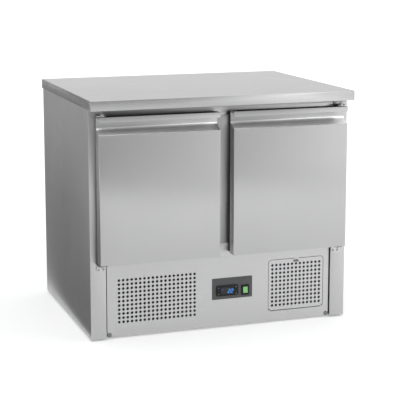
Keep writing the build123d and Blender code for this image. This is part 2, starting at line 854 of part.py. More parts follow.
make_door("door_left", -door_gap / 2 - door_width, -pivot_x)
make_door("door_right", door_gap / 2, pivot_x)

# Hinge brackets on the posts, and the pins that stand in them
bracket_inner = opening_side + seat_margin
bracket_middle = bracket_inner + bracket_width / 2
leaf_front = pivot_y - bracket_width / 3
lower_leaf_top = door_bottom - lower_hinge_gap
upper_leaf_bottom = door_top + upper_hinge_gap
upper_plate_top = carcass_top - seat_margin

with BuildPart() as hinge_brackets:
    for x in (-bracket_middle, bracket_middle):
        for leaf_base, plate in (
            (lower_leaf_top - bracket_thickness, (lower_leaf_top - bracket_drop, lower_leaf_top)),
            (upper_leaf_bottom, (upper_leaf_bottom, upper_plate_top)),
        ):
            with BuildSketch(facing(post_face)) as plate_outline:
                with Locations((x, (plate[0] + plate[1]) / 2)):
                    Rectangle(bracket_width, plate[1] - plate[0])
                if plate[1] == lower_leaf_top:
                    fillet(plate_outline.vertices().group_by(Axis.Z)[0], radius=bracket_corner)
            extrude(amount=bracket_thickness)
            with BuildSketch(Plane.XY.offset(leaf_base)) as leaf_outline:
                with Locations((x, (post_face + leaf_front) / 2)):
                    Rectangle(bracket_width, post_face - leaf_front)
                chamfer(leaf_outline.vertices().group_by(Axis.Y)[0], length=bracket_corner)
            extrude(amount=bracket_thickness)
    with BuildSketch(Plane.XY.offset(carcass_base)):
        with Locations((-pivot_x, pivot_y), (pivot_x, pivot_y)):
            RegularPolygon(pin_diameter / 2, bush_sides, major_radius=False)
    extrude(amount=carcass_height, mode=Mode.SUBTRACT)
save(hinge_brackets, "hinge_brackets")

with BuildPart() as hinge_pins:
    for x in (-pivot_x, pivot_x):
        lower_head = lower_leaf_top - bracket_thickness - pin_head_height
        upper_head = upper_leaf_bottom + bracket_thickness
        for head, shank in (
            (lower_head, (lower_head, door_bottom + pin_reach)),
            (upper_head, (door_top - grip_roof, upper_head)),
        ):
            with BuildSketch(Plane.XY.offset(head)):
                with Locations((x, pivot_y)):
                    RegularPolygon(pin_head_diameter / 2, pin_head_sides)
            extrude(amount=pin_head_height)
            with BuildSketch(Plane.XY.offset(shank[0])):
                with Locations((x, pivot_y)):
                    Circle(pin_diameter / 2)
            extrude(amount=shank[1] - shank[0])
save(hinge_pins, "hinge_pins")

# Shelves, one each side, on clips in upright supports
shelf_z = opening_bottom + shelf_height
shelf_x = (shelf_gap, opening_side - pilaster_thickness - shelf_play)
support_front = post_face + mullion_depth
shelf_y = (support_front + pilaster_thickness + shelf_play, chamber_back - pilaster_thickness - shelf_play)

for name, side in (("shelf_left", -1), ("shelf_right", 1)):
    span = sorted((side * shelf_x[0], side * shelf_x[1]))
    with BuildPart() as shelf:
        block(span, shelf_y, (shelf_z, shelf_z + shelf_bar))
        cut_block(
            (span[0] + shelf_bar, span[1] - shelf_bar),
            (shelf_y[0] + shelf_bar, shelf_y[1] - shelf_bar),
            (shelf_z, shelf_z + shelf_bar),
        )
        with Locations(((span[0] + span[1]) / 2, (shelf_y[0] + shelf_y[1]) / 2, shelf_z + shelf_wire / 2)):
            Box(span[1] - span[0] - shelf_bar, shelf_bar, shelf_wire)
        wire_pitch = (span[1] - span[0] - shelf_bar) / (shelf_wires + 1)
        wire_z = shelf_z + shelf_wire + shelf_wire / 2
        with Locations(((span[0] + span[1]) / 2, (shelf_y[0] + shelf_y[1]) / 2, wire_z)):
            with GridLocations(wire_pitch, 1, shelf_wires, 1):
                Box(shelf_wire, shelf_y[1] - shelf_y[0] - shelf_bar, shelf_wire)
    save(shelf, name)

pilaster_z = (opening_bottom + pilaster_end_gap, opening_top - pilaster_end_gap)
evaporator_bottom = opening_top - evaporator_top_gap - evaporator_size[2]
rear_pilaster_z = (pilaster_z[0], evaporator_bottom - pilaster_end_gap)
wall_places = (shelf_y[0] + pilaster_inset, shelf_y[1] - pilaster_inset)
centre_places = (shelf_gap + pilaster_width, -shelf_gap - pilaster_width)

with BuildPart() as shelf_supports:
    for side in (-1, 1):
        wall = sorted((side * opening_side, side * (opening_side - pilaster_thickness)))
        clip = sorted(
            (side * (opening_side - pilaster_thickness), side * (opening_side - pilaster_thickness - clip_reach))
        )
        for y in wall_places:
            block(wall, (y - pilaster_width / 2, y + pilaster_width / 2), pilaster_z)
            block(clip, (y - clip_width / 2, y + clip_width / 2), (shelf_z - clip_height, shelf_z))
    for x in centre_places:
        across = (x - pilaster_width / 2, x + pilaster_width / 2)
        clip_across = (x - clip_width / 2, x + clip_width / 2)
        front = support_front + pilaster_thickness
        back = chamber_back - pilaster_thickness
        block(across, (support_front, front), pilaster_z)
        block(clip_across, (front, front + clip_reach), (shelf_z - clip_height, shelf_z))
        block(across, (back, chamber_back), rear_pilaster_z)
        block(clip_across, (back - clip_reach, back), (shelf_z - clip_height, shelf_z))
save(shelf_supports, "shelf_supports")


# Finned block: upright grooves along its front face leave the fins between them
def finned_block(x, y, z):
    block(x, y, z)
    count = int((x[1] - x[0]) / fin_pitch) - 1
    with Locations(((x[0] + x[1]) / 2, y[0] + fin_depth / 2, (z[0] + z[1]) / 2)):
        with GridLocations(fin_pitch, 1, count, 1):
            Box(fin_groove, fin_depth, z[1] - z[0], mode=Mode.SUBTRACT)


# Fan wheel about an axis along Y, with its shaft towards the motor behind it
def fan_wheel(x, y, z, radius, hub_radius, blade_depth, shaft_length):
    blade_pitch = atan2(blade_depth * 0.8, radius * 0.9)
    blade_root = hub_radius * 0.6
    blade_tip = radius * 0.97
    with BuildPart() as wheel:
        with BuildSketch(facing(0)):
            RegularPolygon(hub_radius, hub_sides)
        extrude(amount=-blade_depth)
        with BuildSketch(facing(blade_depth)):
            Circle(shaft_radius)
        extrude(amount=-shaft_length)
        for turn in range(blade_count):
            angle = 2 * pi * turn / blade_count
            across = Vector(-sin(angle), 0, cos(angle))
            lean = Plane(
                origin=(0, blade_depth / 2, 0),
                x_dir=(cos(angle), 0, sin(angle)),
                z_dir=Vector(0, -cos(blade_pitch), 0) + across * sin(blade_pitch),
            )
            with BuildSketch(lean):
                with BuildLine():
                    Polyline(
                        (blade_root, -radius * 0.18),
                        (blade_tip * 0.93, -radius * 0.33),
                        (blade_tip, 0),
                        (blade_tip * 0.93, radius * 0.33),
                        (blade_root, radius * 0.18),
                        close=True,
                    )
                make_face()
            extrude(amount=1, both=True)
    wheel.part = Location((x, y, z)) * wheel.part
    return wheel


# Evaporator: finned coil behind a fan, under a cover on the chamber's back wall
evaporator_front = chamber_back - evaporator_size[1]
evaporator_x = (-evaporator_size[0] / 2, evaporator_size[0] / 2)
evaporator_z = (evaporator_bottom, evaporator_bottom + evaporator_size[2])
evaporator_axis_z = (evaporator_z[0] + evaporator_z[1]) / 2

with BuildPart() as evaporator_cover:
    block(evaporator_x, (evaporator_front, chamber_back), evaporator_z)
    cut_block(
        (evaporator_x[0] + sheet, evaporator_x[1] - sheet),
        (evaporator_front + sheet, chamber_back),
        (evaporator_z[0] + sheet, evaporator_z[1] - sheet),
    )
    with BuildSketch(facing(evaporator_front)):
        with Locations((0, evaporator_axis_z)):
            RegularPolygon(evaporator_fan_radius, throat_sides)
            Rectangle(2 * evaporator_fan_radius, guard_bar, mode=Mode.SUBTRACT)
            Rectangle(guard_bar, 2 * evaporator_fan_radius, mode=Mode.SUBTRACT)
    extrude(amount=-sheet, mode=Mode.SUBTRACT)
save(evaporator_cover, "evaporator_cover")

with BuildPart() as evaporator_coil:
    finned_block(
        (evaporator_x[0] + sheet, evaporator_x[1] - sheet),
        (chamber_back - evaporator_coil_depth, chamber_back),
        (evaporator_z[0] + sheet, evaporator_z[1] - sheet),
    )
save(evaporator_coil, "evaporator_coil")

evaporator_blade_front = evaporator_front + sheet + fan_gap / 2
evaporator_motor_front = evaporator_blade_front + evaporator_blade_depth + fan_gap / 2
with BuildPart() as evaporator_fan_motor:
    with BuildSketch(facing(evaporator_motor_front)):
        with Locations((0, evaporator_axis_z)):
            RegularPolygon(evaporator_motor_radius, motor_sides)
    extrude(amount=-evaporator_motor_length)
    block(
        (evaporator_x[0] + sheet, evaporator_x[1] - sheet),
        (evaporator_motor_front + evaporator_motor_length - 2 * sheet, evaporator_motor_front + evaporator_motor_length),
        (evaporator_axis_z - guard_bar, evaporator_axis_z + guard_bar),
    )
    with BuildSketch(facing(evaporator_motor_front)):
        with Locations((0, evaporator_axis_z)):
            Circle(shaft_radius + shaft_clearance)
    extrude(amount=-evaporator_motor_length / 2, mode=Mode.SUBTRACT)
save(evaporator_fan_motor, "evaporator_fan_motor")

evaporator_fan = fan_wheel(
    0,
    evaporator_blade_front,
    evaporator_axis_z,
    evaporator_fan_radius - fan_gap / 2,
    evaporator_motor_radius,
    evaporator_blade_depth,
    fan_gap / 2 + evaporator_motor_length / 2 - door_clearance,
)
save(evaporator_fan, "evaporator_fan")

# Condensing unit: coil and fan behind the hatch, compressor in the middle
condenser_front = panel_face + condenser_setback
condenser_back = condenser_front + condenser_size[1]
condenser_x = (hatch_x - condenser_size[0] / 2, hatch_x + condenser_size[0] / 2)
condenser_z = (tray_top + fin_depth, tray_top + condenser_size[2])
unit_x = (condenser_x[0] - end_plate, condenser_x[1] + end_plate)
unit_z = (tray_top, tray_top + condenser_size[2] + fin_depth)
fan_z = (unit_z[0] + unit_z[1]) / 2
shroud_back = condenser_back + shroud_depth

with BuildPart() as condenser_coil:
    finned_block(condenser_x, (condenser_front, condenser_back), condenser_z)
    for x in ((unit_x[0], condenser_x[0]), (condenser_x[1], unit_x[1])):
        block(x, (condenser_front, condenser_back), unit_z)
save(condenser_coil, "condenser_coil")

with BuildPart() as fan_shroud:
    block(unit_x, (condenser_back, shroud_back), unit_z)
    cut_block(
        (unit_x[0] + sheet, unit_x[1] - sheet),
        (condenser_back, shroud_back - sheet),
        (unit_z[0] + sheet, unit_z[1] - sheet),
    )
    with BuildSketch(facing(shroud_back)):
        with Locations((hatch_x, fan_z)):
            RegularPolygon(condenser_fan_radius + fan_gap / 2, throat_sides, major_radius=False)
    extrude(amount=sheet, mode=Mode.SUBTRACT)
save(fan_shroud, "fan_shroud")

blade_front = shroud_back + fan_gap
motor_front = blade_front + blade_depth + fan_gap
bracket_reach = condenser_fan_radius + 2 * fan_gap
with BuildPart() as condenser_fan_motor:
    with BuildSketch(facing(motor_front)):
        with Locations((hatch_x, fan_z)):
            RegularPolygon(motor_radius, motor_sides)
    extrude(amount=-motor_length)
    strap = (hatch_x - fan_gap, hatch_x + fan_gap)
    strap_back = motor_front + motor_length / 2
    block(strap, (strap_back - bracket_thickness, strap_back), (fan_z - bracket_reach, fan_z + bracket_reach))
    for z in (fan_z - bracket_reach, fan_z + bracket_reach - bracket_thickness):
        block(strap, (shroud_back, strap_back), (z, z + bracket_thickness))
    with BuildSketch(facing(motor_front)):
        with Locations((hatch_x, fan_z)):
            Circle(shaft_radius + shaft_clearance)
    extrude(amount=-motor_length / 2, mode=Mode.SUBTRACT)
save(condenser_fan_motor, "condenser_fan_motor")

condenser_fan = fan_wheel(
    hatch_x,
    blade_front,
    fan_z,
    condenser_fan_radius,
    motor_radius * 0.7,
    blade_depth,
    fan_gap + motor_length / 2 - door_clearance,
)
save(condenser_fan, "condenser_fan")

# Compressor: domed shell with a weld seam, on a foot plate and four rubber mounts
plate_bottom = tray_top + mount_height
shell_bottom = plate_bottom + compressor_foot[2]
shell_top = shell_bottom + compressor_height
shell_seam = shell_bottom + compressor_height * 0.55
shell_shoulder = shell_top - compressor_radius * 0.45
stub_offset = 34.0
stub_top = pipe_level - pipe_bend - pipe_radius
with BuildPart() as compressor:
    for radius, bottom, top in (
        (compressor_radius, shell_bottom, shell_seam),
        (compressor_radius + seam_proud, shell_seam, shell_seam + seam_height),
        (compressor_radius - seam_proud, shell_seam + seam_height, shell_shoulder),
    ):
        with BuildSketch(Plane.XY.offset(bottom)):
            RegularPolygon(radius, shell_sides)
        extrude(amount=top - bottom)
    for lean in (30, 60):
        dome_face = compressor.faces().sort_by(Axis.Z)[-1]
        extrude(dome_face, amount=(shell_top - shell_shoulder) / 2, taper=lean)
    with Locations((0, 0, plate_bottom)):
        Box(*compressor_foot, align=(Align.CENTER, Align.CENTER, Align.MIN))
    with BuildSketch(Plane.XY.offset(shell_seam)):
        with Locations((-stub_offset, 0), (stub_offset, 0)):
            RegularPolygon(2 * pipe_radius, pipe_sides)
    extrude(amount=stub_top - shell_seam)
compressor.part = Location((*compressor_centre, 0)) * compressor.part
save(compressor, "compressor")

with BuildPart() as compressor_mounts:
    mount_grid = (compressor_foot[0] - 2 * mount_radius, compressor_foot[1] - 2 * mount_radius)
    with BuildSketch(Plane.XY.offset(tray_top)):
        with Locations(compressor_centre):
            with GridLocations(*mount_grid, 2, 2):
                RegularPolygon(mount_radius, mount_sides)
    extrude(amount=mount_height)
save(compressor_mounts, "compressor_mounts")

# Copper pipework: straight runs with bends of one radius, and the filter drier in the liquid line
coil_y = (condenser_front + condenser_back) / 2
low_pipe_z = tray_top + drier_drop + drier_radius
drier_right = unit_x[0] - 4 * pipe_bend
drier_left = drier_right - drier_length
riser_x = drier_left - 4 * pipe_bend
cx, cy = compressor_centre
pipe_routes = (
    (
        (cx + stub_offset, cy, stub_top),
        (cx + stub_offset, cy, pipe_level),
        (cx + stub_offset, coil_y, pipe_level),
        (unit_x[0], coil_y, pipe_level),
    ),
    (
        (cx - stub_offset, cy, stub_top),
        (cx - stub_offset, cy, pipe_level),
        (cx - stub_offset, rear_panel_front - 4 * pipe_bend, pipe_level),
        (cx - stub_offset, rear_panel_front - 4 * pipe_bend, deck_bottom),
    ),
    ((unit_x[0], coil_y, low_pipe_z), (drier_right, coil_y, low_pipe_z)),
    (
        (drier_left, coil_y, low_pipe_z),
        (riser_x, coil_y, low_pipe_z),
        (riser_x, coil_y, deck_bottom),
    ),
)


def bent_route(route):
    """Route of a pipe with each corner cut off at the bend's length."""
    corners = [Vector(*point) for point in route]
    points = [corners[0]]
    for before, corner, after in zip(corners, corners[1:], corners[2:]):
        points.append(corner + (before - corner).normalized() * pipe_bend)
        points.append(corner + (after - corner).normalized() * pipe_bend)
    return points + [corners[-1]]


with BuildPart() as refrigerant_pipes:
    for route in pipe_routes:
        with BuildLine() as centreline:
            Polyline(*bent_route(route))
        with BuildSketch(Plane(origin=centreline.line @ 0, z_dir=centreline.line % 0)):
            RegularPolygon(pipe_radius, pipe_sides)
        sweep(path=centreline.line, transition=Transition.RIGHT)
    with BuildSketch(Plane.XZ):
        with BuildLine():
            Polyline(
                (drier_left, 0),
                (drier_left, pipe_radius + 1),
                (drier_left + drier_radius, drier_radius),
                (drier_right - drier_radius, drier_radius),
                (drier_right, pipe_radius + 1),
                (drier_right, 0),
                close=True,
            )
        make_face()
    drier = revolve(axis=Axis.X, mode=Mode.PRIVATE)
    add(Location((0, coil_y, low_pipe_z)) * drier)
save(refrigerant_pipes, "refrigerant_pipes")

with BuildPart() as electrical_box:
    box_x = -inside_side + 3 * foot_inset
    block(
        (box_x - electrical_box_size[0], box_x),
        (0, electrical_box_size[1]),
        (tray_top, tray_top + electrical_box_size[2]),
    )
    lid_edges = electrical_box.edges().group_by(Axis.Z)[-1]
    chamfer(lid_edges, length=4)
save(electrical_box, "electrical_box")
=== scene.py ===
import json
import math

import bmesh
import bpy
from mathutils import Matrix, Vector


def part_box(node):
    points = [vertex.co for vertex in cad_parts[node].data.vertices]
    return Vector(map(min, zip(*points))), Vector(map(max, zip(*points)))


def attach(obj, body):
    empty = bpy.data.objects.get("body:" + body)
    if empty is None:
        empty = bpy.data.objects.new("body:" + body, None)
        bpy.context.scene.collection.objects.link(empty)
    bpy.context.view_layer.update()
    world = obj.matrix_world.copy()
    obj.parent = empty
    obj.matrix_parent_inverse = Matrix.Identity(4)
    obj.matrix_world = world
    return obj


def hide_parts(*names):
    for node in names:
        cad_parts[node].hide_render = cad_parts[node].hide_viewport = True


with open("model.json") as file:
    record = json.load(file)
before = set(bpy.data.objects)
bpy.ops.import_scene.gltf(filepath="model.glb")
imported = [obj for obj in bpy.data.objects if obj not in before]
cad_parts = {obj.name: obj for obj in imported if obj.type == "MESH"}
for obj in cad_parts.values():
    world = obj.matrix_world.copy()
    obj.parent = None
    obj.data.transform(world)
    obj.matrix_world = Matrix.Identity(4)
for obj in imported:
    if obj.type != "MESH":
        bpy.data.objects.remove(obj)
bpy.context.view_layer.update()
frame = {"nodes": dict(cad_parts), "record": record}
scene = bpy.context.scene
cadNodes = frame["nodes"]
bodyOf = {node: body for body, members in frame["record"]["behaviour"]["bodies"].items() for node in members}
print("frame loaded:", len(cadNodes), "nodes")


# Node trees: a value that is a socket gets linked, and any other is set
def feed(tree, node, values):
    for name, value in values.items():
        if isinstance(value, bpy.types.NodeSocket):
            tree.links.new(value, node.inputs[name])
        else:
            node.inputs[name].default_value = value


def addNode(tree, kind, values=None, **settings):
    node = tree.nodes.new(kind)
    for name, value in settings.items():
        setattr(node, name, value)
    feed(tree, node, values or {})
    return node


def firstOut(tree, kind, values, **settings):
    return addNode(tree, kind, values, **settings).outputs[0]


def clearedTree(owner):
    owner.use_nodes = True
    owner.node_tree.nodes.clear()
    return owner.node_tree


finishes = {}


def startMaterial(name, roughness, metallic=0.0, **sockets):
    finishes[name] = bpy.data.materials.new(name)
    tree = clearedTree(finishes[name])
    shader = addNode(tree, "ShaderNodeBsdfPrincipled", {"Roughness": roughness, "Metallic": metallic})
    feed(tree, shader, {socket.replace("_", " "): value for socket, value in sockets.items()})
    addNode(tree, "ShaderNodeOutputMaterial", {"Surface": shader.outputs[0]})
    return tree, shader


def objectPlace(tree):
    return addNode(tree, "ShaderNodeTexCoord").outputs["Object"]


def noiseOn(tree, scale, stretch=(1, 1, 1), detail=2.0, roughness=0.5):
    place = firstOut(tree, "ShaderNodeMapping", {"Vector": objectPlace(tree), "Scale": stretch})
    values = {"Vector": place, "Scale": scale, "Detail": detail, "Roughness": roughness}
    return addNode(tree, "ShaderNodeTexNoise", values).outputs["Fac"]


def cellsOn(tree, scale):
    return addNode(tree, "ShaderNodeTexVoronoi", {"Vector": objectPlace(tree), "Scale": scale}).outputs


def spread(tree, source, low, high, start=0.3, end=0.7):
    return firstOut(tree, "ShaderNodeMapRange", {0: source, 1: start, 2: end, 3: low, 4: high})


def blendColors(tree, factor, first, second):
    values = {0: factor, 6: (*first, 1), 7: (*second, 1)}
    return addNode(tree, "ShaderNodeMix", values, data_type="RGBA").outputs[2]


def blendCells(tree, cells, first, second):
    return blendColors(tree, firstOut(tree, "ShaderNodeSeparateColor", {0: cells["Color"]}), first, second)


def bumpFrom(tree, height, strength, distance):
    return firstOut(tree, "ShaderNodeBump", {"Height": height, "Strength": strength, "Distance": distance})


# Brushed stainless: fine scratches along the grain, slow streaks of tone and faint handling marks
def brushedSteel(name, grain, tone, roughness, streak, anisotropy):
    size = {
        "scratch": 1600, "scratchStretch": 0.004, "streak": 26, "streakStretch": 0.06, "smudge": 5,
        "swing": 0.05, "smudgeRange": (-0.02, 0.03), "bump": 0.05, "depth": 0.00003, "blue": 1.004,
    }
    tree, shader = startMaterial(name, roughness, 1.0, Anisotropic=anisotropy)
    shader.inputs["Anisotropic Rotation"].default_value = 0.25
    along = "XYZ".index(grain)

    def stretched(length):
        stretch = [1.0] * 3
        stretch[along] = length
        return stretch

    scratches = noiseOn(tree, size["scratch"], stretched(size["scratchStretch"]), 1.0)
    streaks = noiseOn(tree, size["streak"], stretched(size["streakStretch"]), 3.0)
    smudges = noiseOn(tree, size["smudge"], detail=4.0, roughness=0.6)
    dark = tone * (1 - 2 * streak)
    scratched = spread(tree, scratches, roughness - size["swing"], roughness + size["swing"])
    smudged = spread(tree, smudges, *size["smudgeRange"])
    direction = [0.011, 0.017, 0.013]
    direction[along] = 1.0
    feed(tree, shader, {
        "Base Color": blendColors(tree, streaks, (dark, dark, dark * size["blue"]), (tone, tone, tone)),
        "Roughness": firstOut(tree, "ShaderNodeMath", {0: scratched, 1: smudged}, operation="ADD"),
        "Normal": bumpFrom(tree, scratches, size["bump"], size["depth"]),
        "Tangent": firstOut(tree, "ShaderNodeCombineXYZ", dict(enumerate(direction))),
    })


# Moulded plastics and rubbers: a fine grain, and patches a little more rubbed than the rest
def mouldedPlastic(name, color, roughness, specular=0.5, grain=900, depth=0.00004):
    size = {"patch": 22, "lift": 1.12, "haze": 0.002, "bump": 0.35}
    tree, shader = startMaterial(name, roughness, Specular_IOR_Level=specular)
    rubbed = noiseOn(tree, size["patch"], detail=4.0)
    lighter = [min(1.0, c * size["lift"] + size["haze"]) for c in color]
    feed(tree, shader, {
        "Base Color": blendColors(tree, rubbed, color, lighter),
        "Roughness": spread(tree, rubbed, roughness - 0.05, roughness + 0.07),
        "Normal": bumpFrom(tree, noiseOn(tree, grain, detail=1.0), size["bump"], depth),
    })


# Zinc-coated sheet: crystal spangle in tone and gloss
def galvanisedSheet(name, tone):
    size = {"crystal": 95, "dull": 9, "gloss": (0.36, 0.5)}
    tree, shader = startMaterial(name, 0.42, 0.85)
    first, second = [tone * k for k in (0.86, 0.88, 0.9)], [tone * k for k in (1.1, 1.11, 1.12)]
    feed(tree, shader, {
        "Base Color": blendCells(tree, cellsOn(tree, size["crystal"]), first, second),
        "Roughness": spread(tree, noiseOn(tree, size["dull"], detail=4.0), *size["gloss"]),
    })


def paintedSteel(name, color, roughness):
    size = {"peel": 420, "patch": 14, "lift": 1.25, "haze": 0.004, "bump": 0.3, "depth": 0.00006}
    tree, shader = startMaterial(name, roughness, Coat_Weight=0.25, Coat_Roughness=0.2)
    patch = noiseOn(tree, size["patch"], detail=5.0)
    feed(tree, shader, {
        "Base Color": blendColors(tree, patch, color, [c * size["lift"] + size["haze"] for c in color]),
        "Roughness": spread(tree, patch, roughness - 0.06, roughness + 0.08),
        "Normal": bumpFrom(tree, noiseOn(tree, size["peel"]), size["bump"], size["depth"]),
    })


# Rigid foam: cells and a slightly uneven skin
def foamFinish(name):
    size = {"cell": 700, "cloud": 16, "bump": 0.6, "depth": 0.0003}
    tree, shader = startMaterial(name, 0.85)
    cloud = noiseOn(tree, size["cloud"], detail=5.0)
    feed(tree, shader, {
        "Base Color": blendColors(tree, cloud, (0.72, 0.62, 0.38), (0.84, 0.76, 0.52)),
        "Normal": bumpFrom(tree, cellsOn(tree, size["cell"])["Distance"], size["bump"], size["depth"]),
    })


def boardFinish(name, dark, light):
    size = {"chip": 260, "bump": 0.4, "depth": 0.0002}
    tree, shader = startMaterial(name, 0.8)
    chips = cellsOn(tree, size["chip"])
    feed(tree, shader, {
        "Base Color": blendCells(tree, chips, dark, light),
        "Normal": bumpFrom(tree, chips["Distance"], size["bump"], size["depth"]),
    })


def copperFinish(name):
    size = {"tarnish": 30, "patch": (0.42, 0.66), "gloss": (0.25, 0.5)}
    tree, shader = startMaterial(name, 0.32, 1.0)
    tarnish = noiseOn(tree, size["tarnish"], detail=6.0, roughness=0.65)
    patches = spread(tree, tarnish, 0, 1, *size["patch"])
    feed(tree, shader, {
        "Base Color": blendColors(tree, patches, (0.82, 0.45, 0.3), (0.36, 0.2, 0.13)),
        "Roughness": spread(tree, tarnish, *size["gloss"]),
    })


def glowFinish(name, color, glow, strength):
    size = {"haze": 240, "lift": 1.15, "drop": 0.92}
    tree, shader = startMaterial(name, 0.3, Coat_Weight=0.4, Emission_Strength=strength)
    haze = noiseOn(tree, size["haze"])
    feed(tree, shader, {
        "Base Color": blendColors(tree, haze, color, [c * size["lift"] for c in color]),
        "Emission Color": blendColors(tree, haze, [c * size["drop"] for c in glow], glow),
    })


# Steels: grain, tone, roughness, streaks and anisotropy
steels = {
    "topSteel": ("X", 0.42, 0.26, 0.012, 0.5),
    "doorSteel": ("Z", 0.48, 0.34, 0.012, 0.5),
    "sideSteel": ("Z", 0.5, 0.32, 0.025, 0.5),
    "panelSteel": ("X", 0.51, 0.33, 0.008, 0.4),
    "handleSteel": ("X", 0.4, 0.42, 0.012, 0.3),
    # ledge: a lighter copy of the handle steel, a painted highlight for the grip's sloping ledge
    "ledgeSteel": ("X", 0.78, 0.4, 0.012, 0.3),
    "linerSteel": ("X", 0.62, 0.22, 0.02, 0.4),
    "hingeSteel": ("X", 0.55, 0.35, 0.03, 0.3),
    "finAluminium": ("Z", 0.6, 0.4, 0.03, 0.2),
}
# Plastics and rubbers: colour and roughness, and where they differ, specular level, grain and its depth
plastics = {
    "sealRubber": ((0.012, 0.012, 0.013), 0.6, 0.2, 1200),
    "mountRubber": ((0.03, 0.03, 0.03), 0.7),
    "nylon": ((0.68, 0.68, 0.65), 0.4),
    "plateGrey": ((0.092, 0.093, 0.095), 0.42, 0.3),
    "capGrey": ((0.2, 0.2, 0.2), 0.42),
    "caseBlack": ((0.01, 0.01, 0.011), 0.42, 0.25),
    "keyBlack": ((0.02, 0.02, 0.022), 0.45, 0.3),
    "markGrey": ((0.3, 0.3, 0.31), 0.5),
    "fanBlack": ((0.022, 0.022, 0.023), 0.45),
    "smokedWindow": ((0.006, 0.007, 0.012), 0.08, 0.5, 300, 0.000004),
    "wireCoat": ((0.7, 0.7, 0.68), 0.3),
}
for name, values in steels.items():
    brushedSteel(name, *values)
for name, values in plastics.items():
    mouldedPlastic(name, *values)
galvanisedSheet("galvanised", 0.34)
galvanisedSheet("zincPlate", 0.42)
foamFinish("foam")
# Worktop core: dark coated chipboard, kept near black partly as painted shade for the gap under the worktop
boardFinish("board", (0.05, 0.045, 0.042), (0.075, 0.07, 0.066))
paintedSteel("motorBlack", (0.012, 0.012, 0.013), 0.35)
copperFinish("copper")
glowFinish("greenLens", (0.16, 0.42, 0.13), (0.25, 0.8, 0.2), 0.2)
glowFinish("blueDigit", (0.02, 0.18, 0.5), (0.02, 0.3, 0.9), 1.0)
print("finishes ready:", len(finishes))


# A piece stands for its CAD node, or rides beside one
def newPiece(name, mesh, finish, node=None, beside=None, slot=None):
    piece = bpy.data.objects.new(name, mesh)
    scene.collection.objects.link(piece)
    if finish:
        mesh.materials.clear()
        mesh.materials.append(finishes[finish])
    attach(piece, bodyOf[node or beside])
    if node:
        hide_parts(node)
    return piece


def camelName(node):
    first, *rest = node.split("_")
    return first + "".join(word.capitalize() for word in rest)


edgeAngle = 32


def smoothAll(mesh):
    mesh.polygons.foreach_set("use_smooth", [True] * len(mesh.polygons))


def bendEdges(piece, width, angle, harden):
    bevel = piece.modifiers.new("edgeBend", "BEVEL")
    bevel.width, bevel.segments = width, 2
    bevel.limit_method, bevel.angle_limit = "ANGLE", math.radians(angle)
    bevel.harden_normals = harden


def roundEdges(piece, width):
    bendEdges(piece, width, edgeAngle, True)
    smoothAll(piece.data)


def drawInto(mesh, build):
    edit = bmesh.new()
    edit.from_mesh(mesh)
    build(edit)
    edit.to_mesh(mesh)
    edit.free()
    return mesh


def meshFrom(name, build):
    return drawInto(bpy.data.meshes.new(name), build)


def drawPiece(name, build, finish, node=None, **place):
    return newPiece(name, meshFrom(name, build), finish, node, **place)


def mergedCopy(node):
    size = {"weld": 2e-6, "flat": math.radians(0.5)}

    def merge(edit):
        bmesh.ops.remove_doubles(edit, verts=edit.verts, dist=size["weld"])
        bmesh.ops.dissolve_limit(edit, angle_limit=size["flat"], verts=edit.verts, edges=edit.edges)

    return drawInto(cadNodes[node].data.copy(), merge)


# A CAD node's own shape with its real finish: bent edges, or sharp ones where the width is nothing
def dress(node, finish, width):
    piece = newPiece(camelName(node), mergedCopy(node), finish, node)
    if width:
        roundEdges(piece, width)
    else:
        smoothAll(piece.data)
        piece.data.set_sharp_from_angle(angle=math.radians(edgeAngle))


def holderOf(mesh):
    holder = bpy.data.objects.new(mesh.name, mesh)
    scene.collection.objects.link(holder)
    return holder


# Node groups: named inputs with their kinds, and one painted geometry handed out
def startGroup(name, inputs, output):
    tree = bpy.data.node_groups.new(name, "GeometryNodeTree")
    for label, kind in {**inputs, "Finish": "Material"}.items():
        tree.interface.new_socket(label, in_out="INPUT", socket_type="NodeSocket" + kind)
    tree.interface.new_socket(output, in_out="OUTPUT", socket_type="NodeSocketGeometry")
    return tree, addNode(tree, "NodeGroupInput").outputs


def endGroup(tree, given, source):
    real = firstOut(tree, "GeometryNodeRealizeInstances", {0: source})
    painted = firstOut(tree, "GeometryNodeSetMaterial", {"Geometry": real, "Material": given["Finish"]})
    addNode(tree, "NodeGroupOutput", {0: painted})
    return tree


# Runs a group on an object, keeps the result as a plain mesh and takes the object away
def runTree(holder, tree, values, name):
    modifier = holder.modifiers.new(tree.name, "NODES")
    modifier.node_group = tree
    sockets = {item.name: item.identifier for item in tree.interface.items_tree if item.in_out == "INPUT"}
    for label, value in values.items():
        modifier[sockets[label]] = value
    holder.update_tag()
    depsgraph = bpy.context.evaluated_depsgraph_get()
    mesh = bpy.data.meshes.new_from_object(holder.evaluated_get(depsgraph), depsgraph=depsgraph)
    mesh.name = name
    bpy.data.objects.remove(holder)
    return mesh


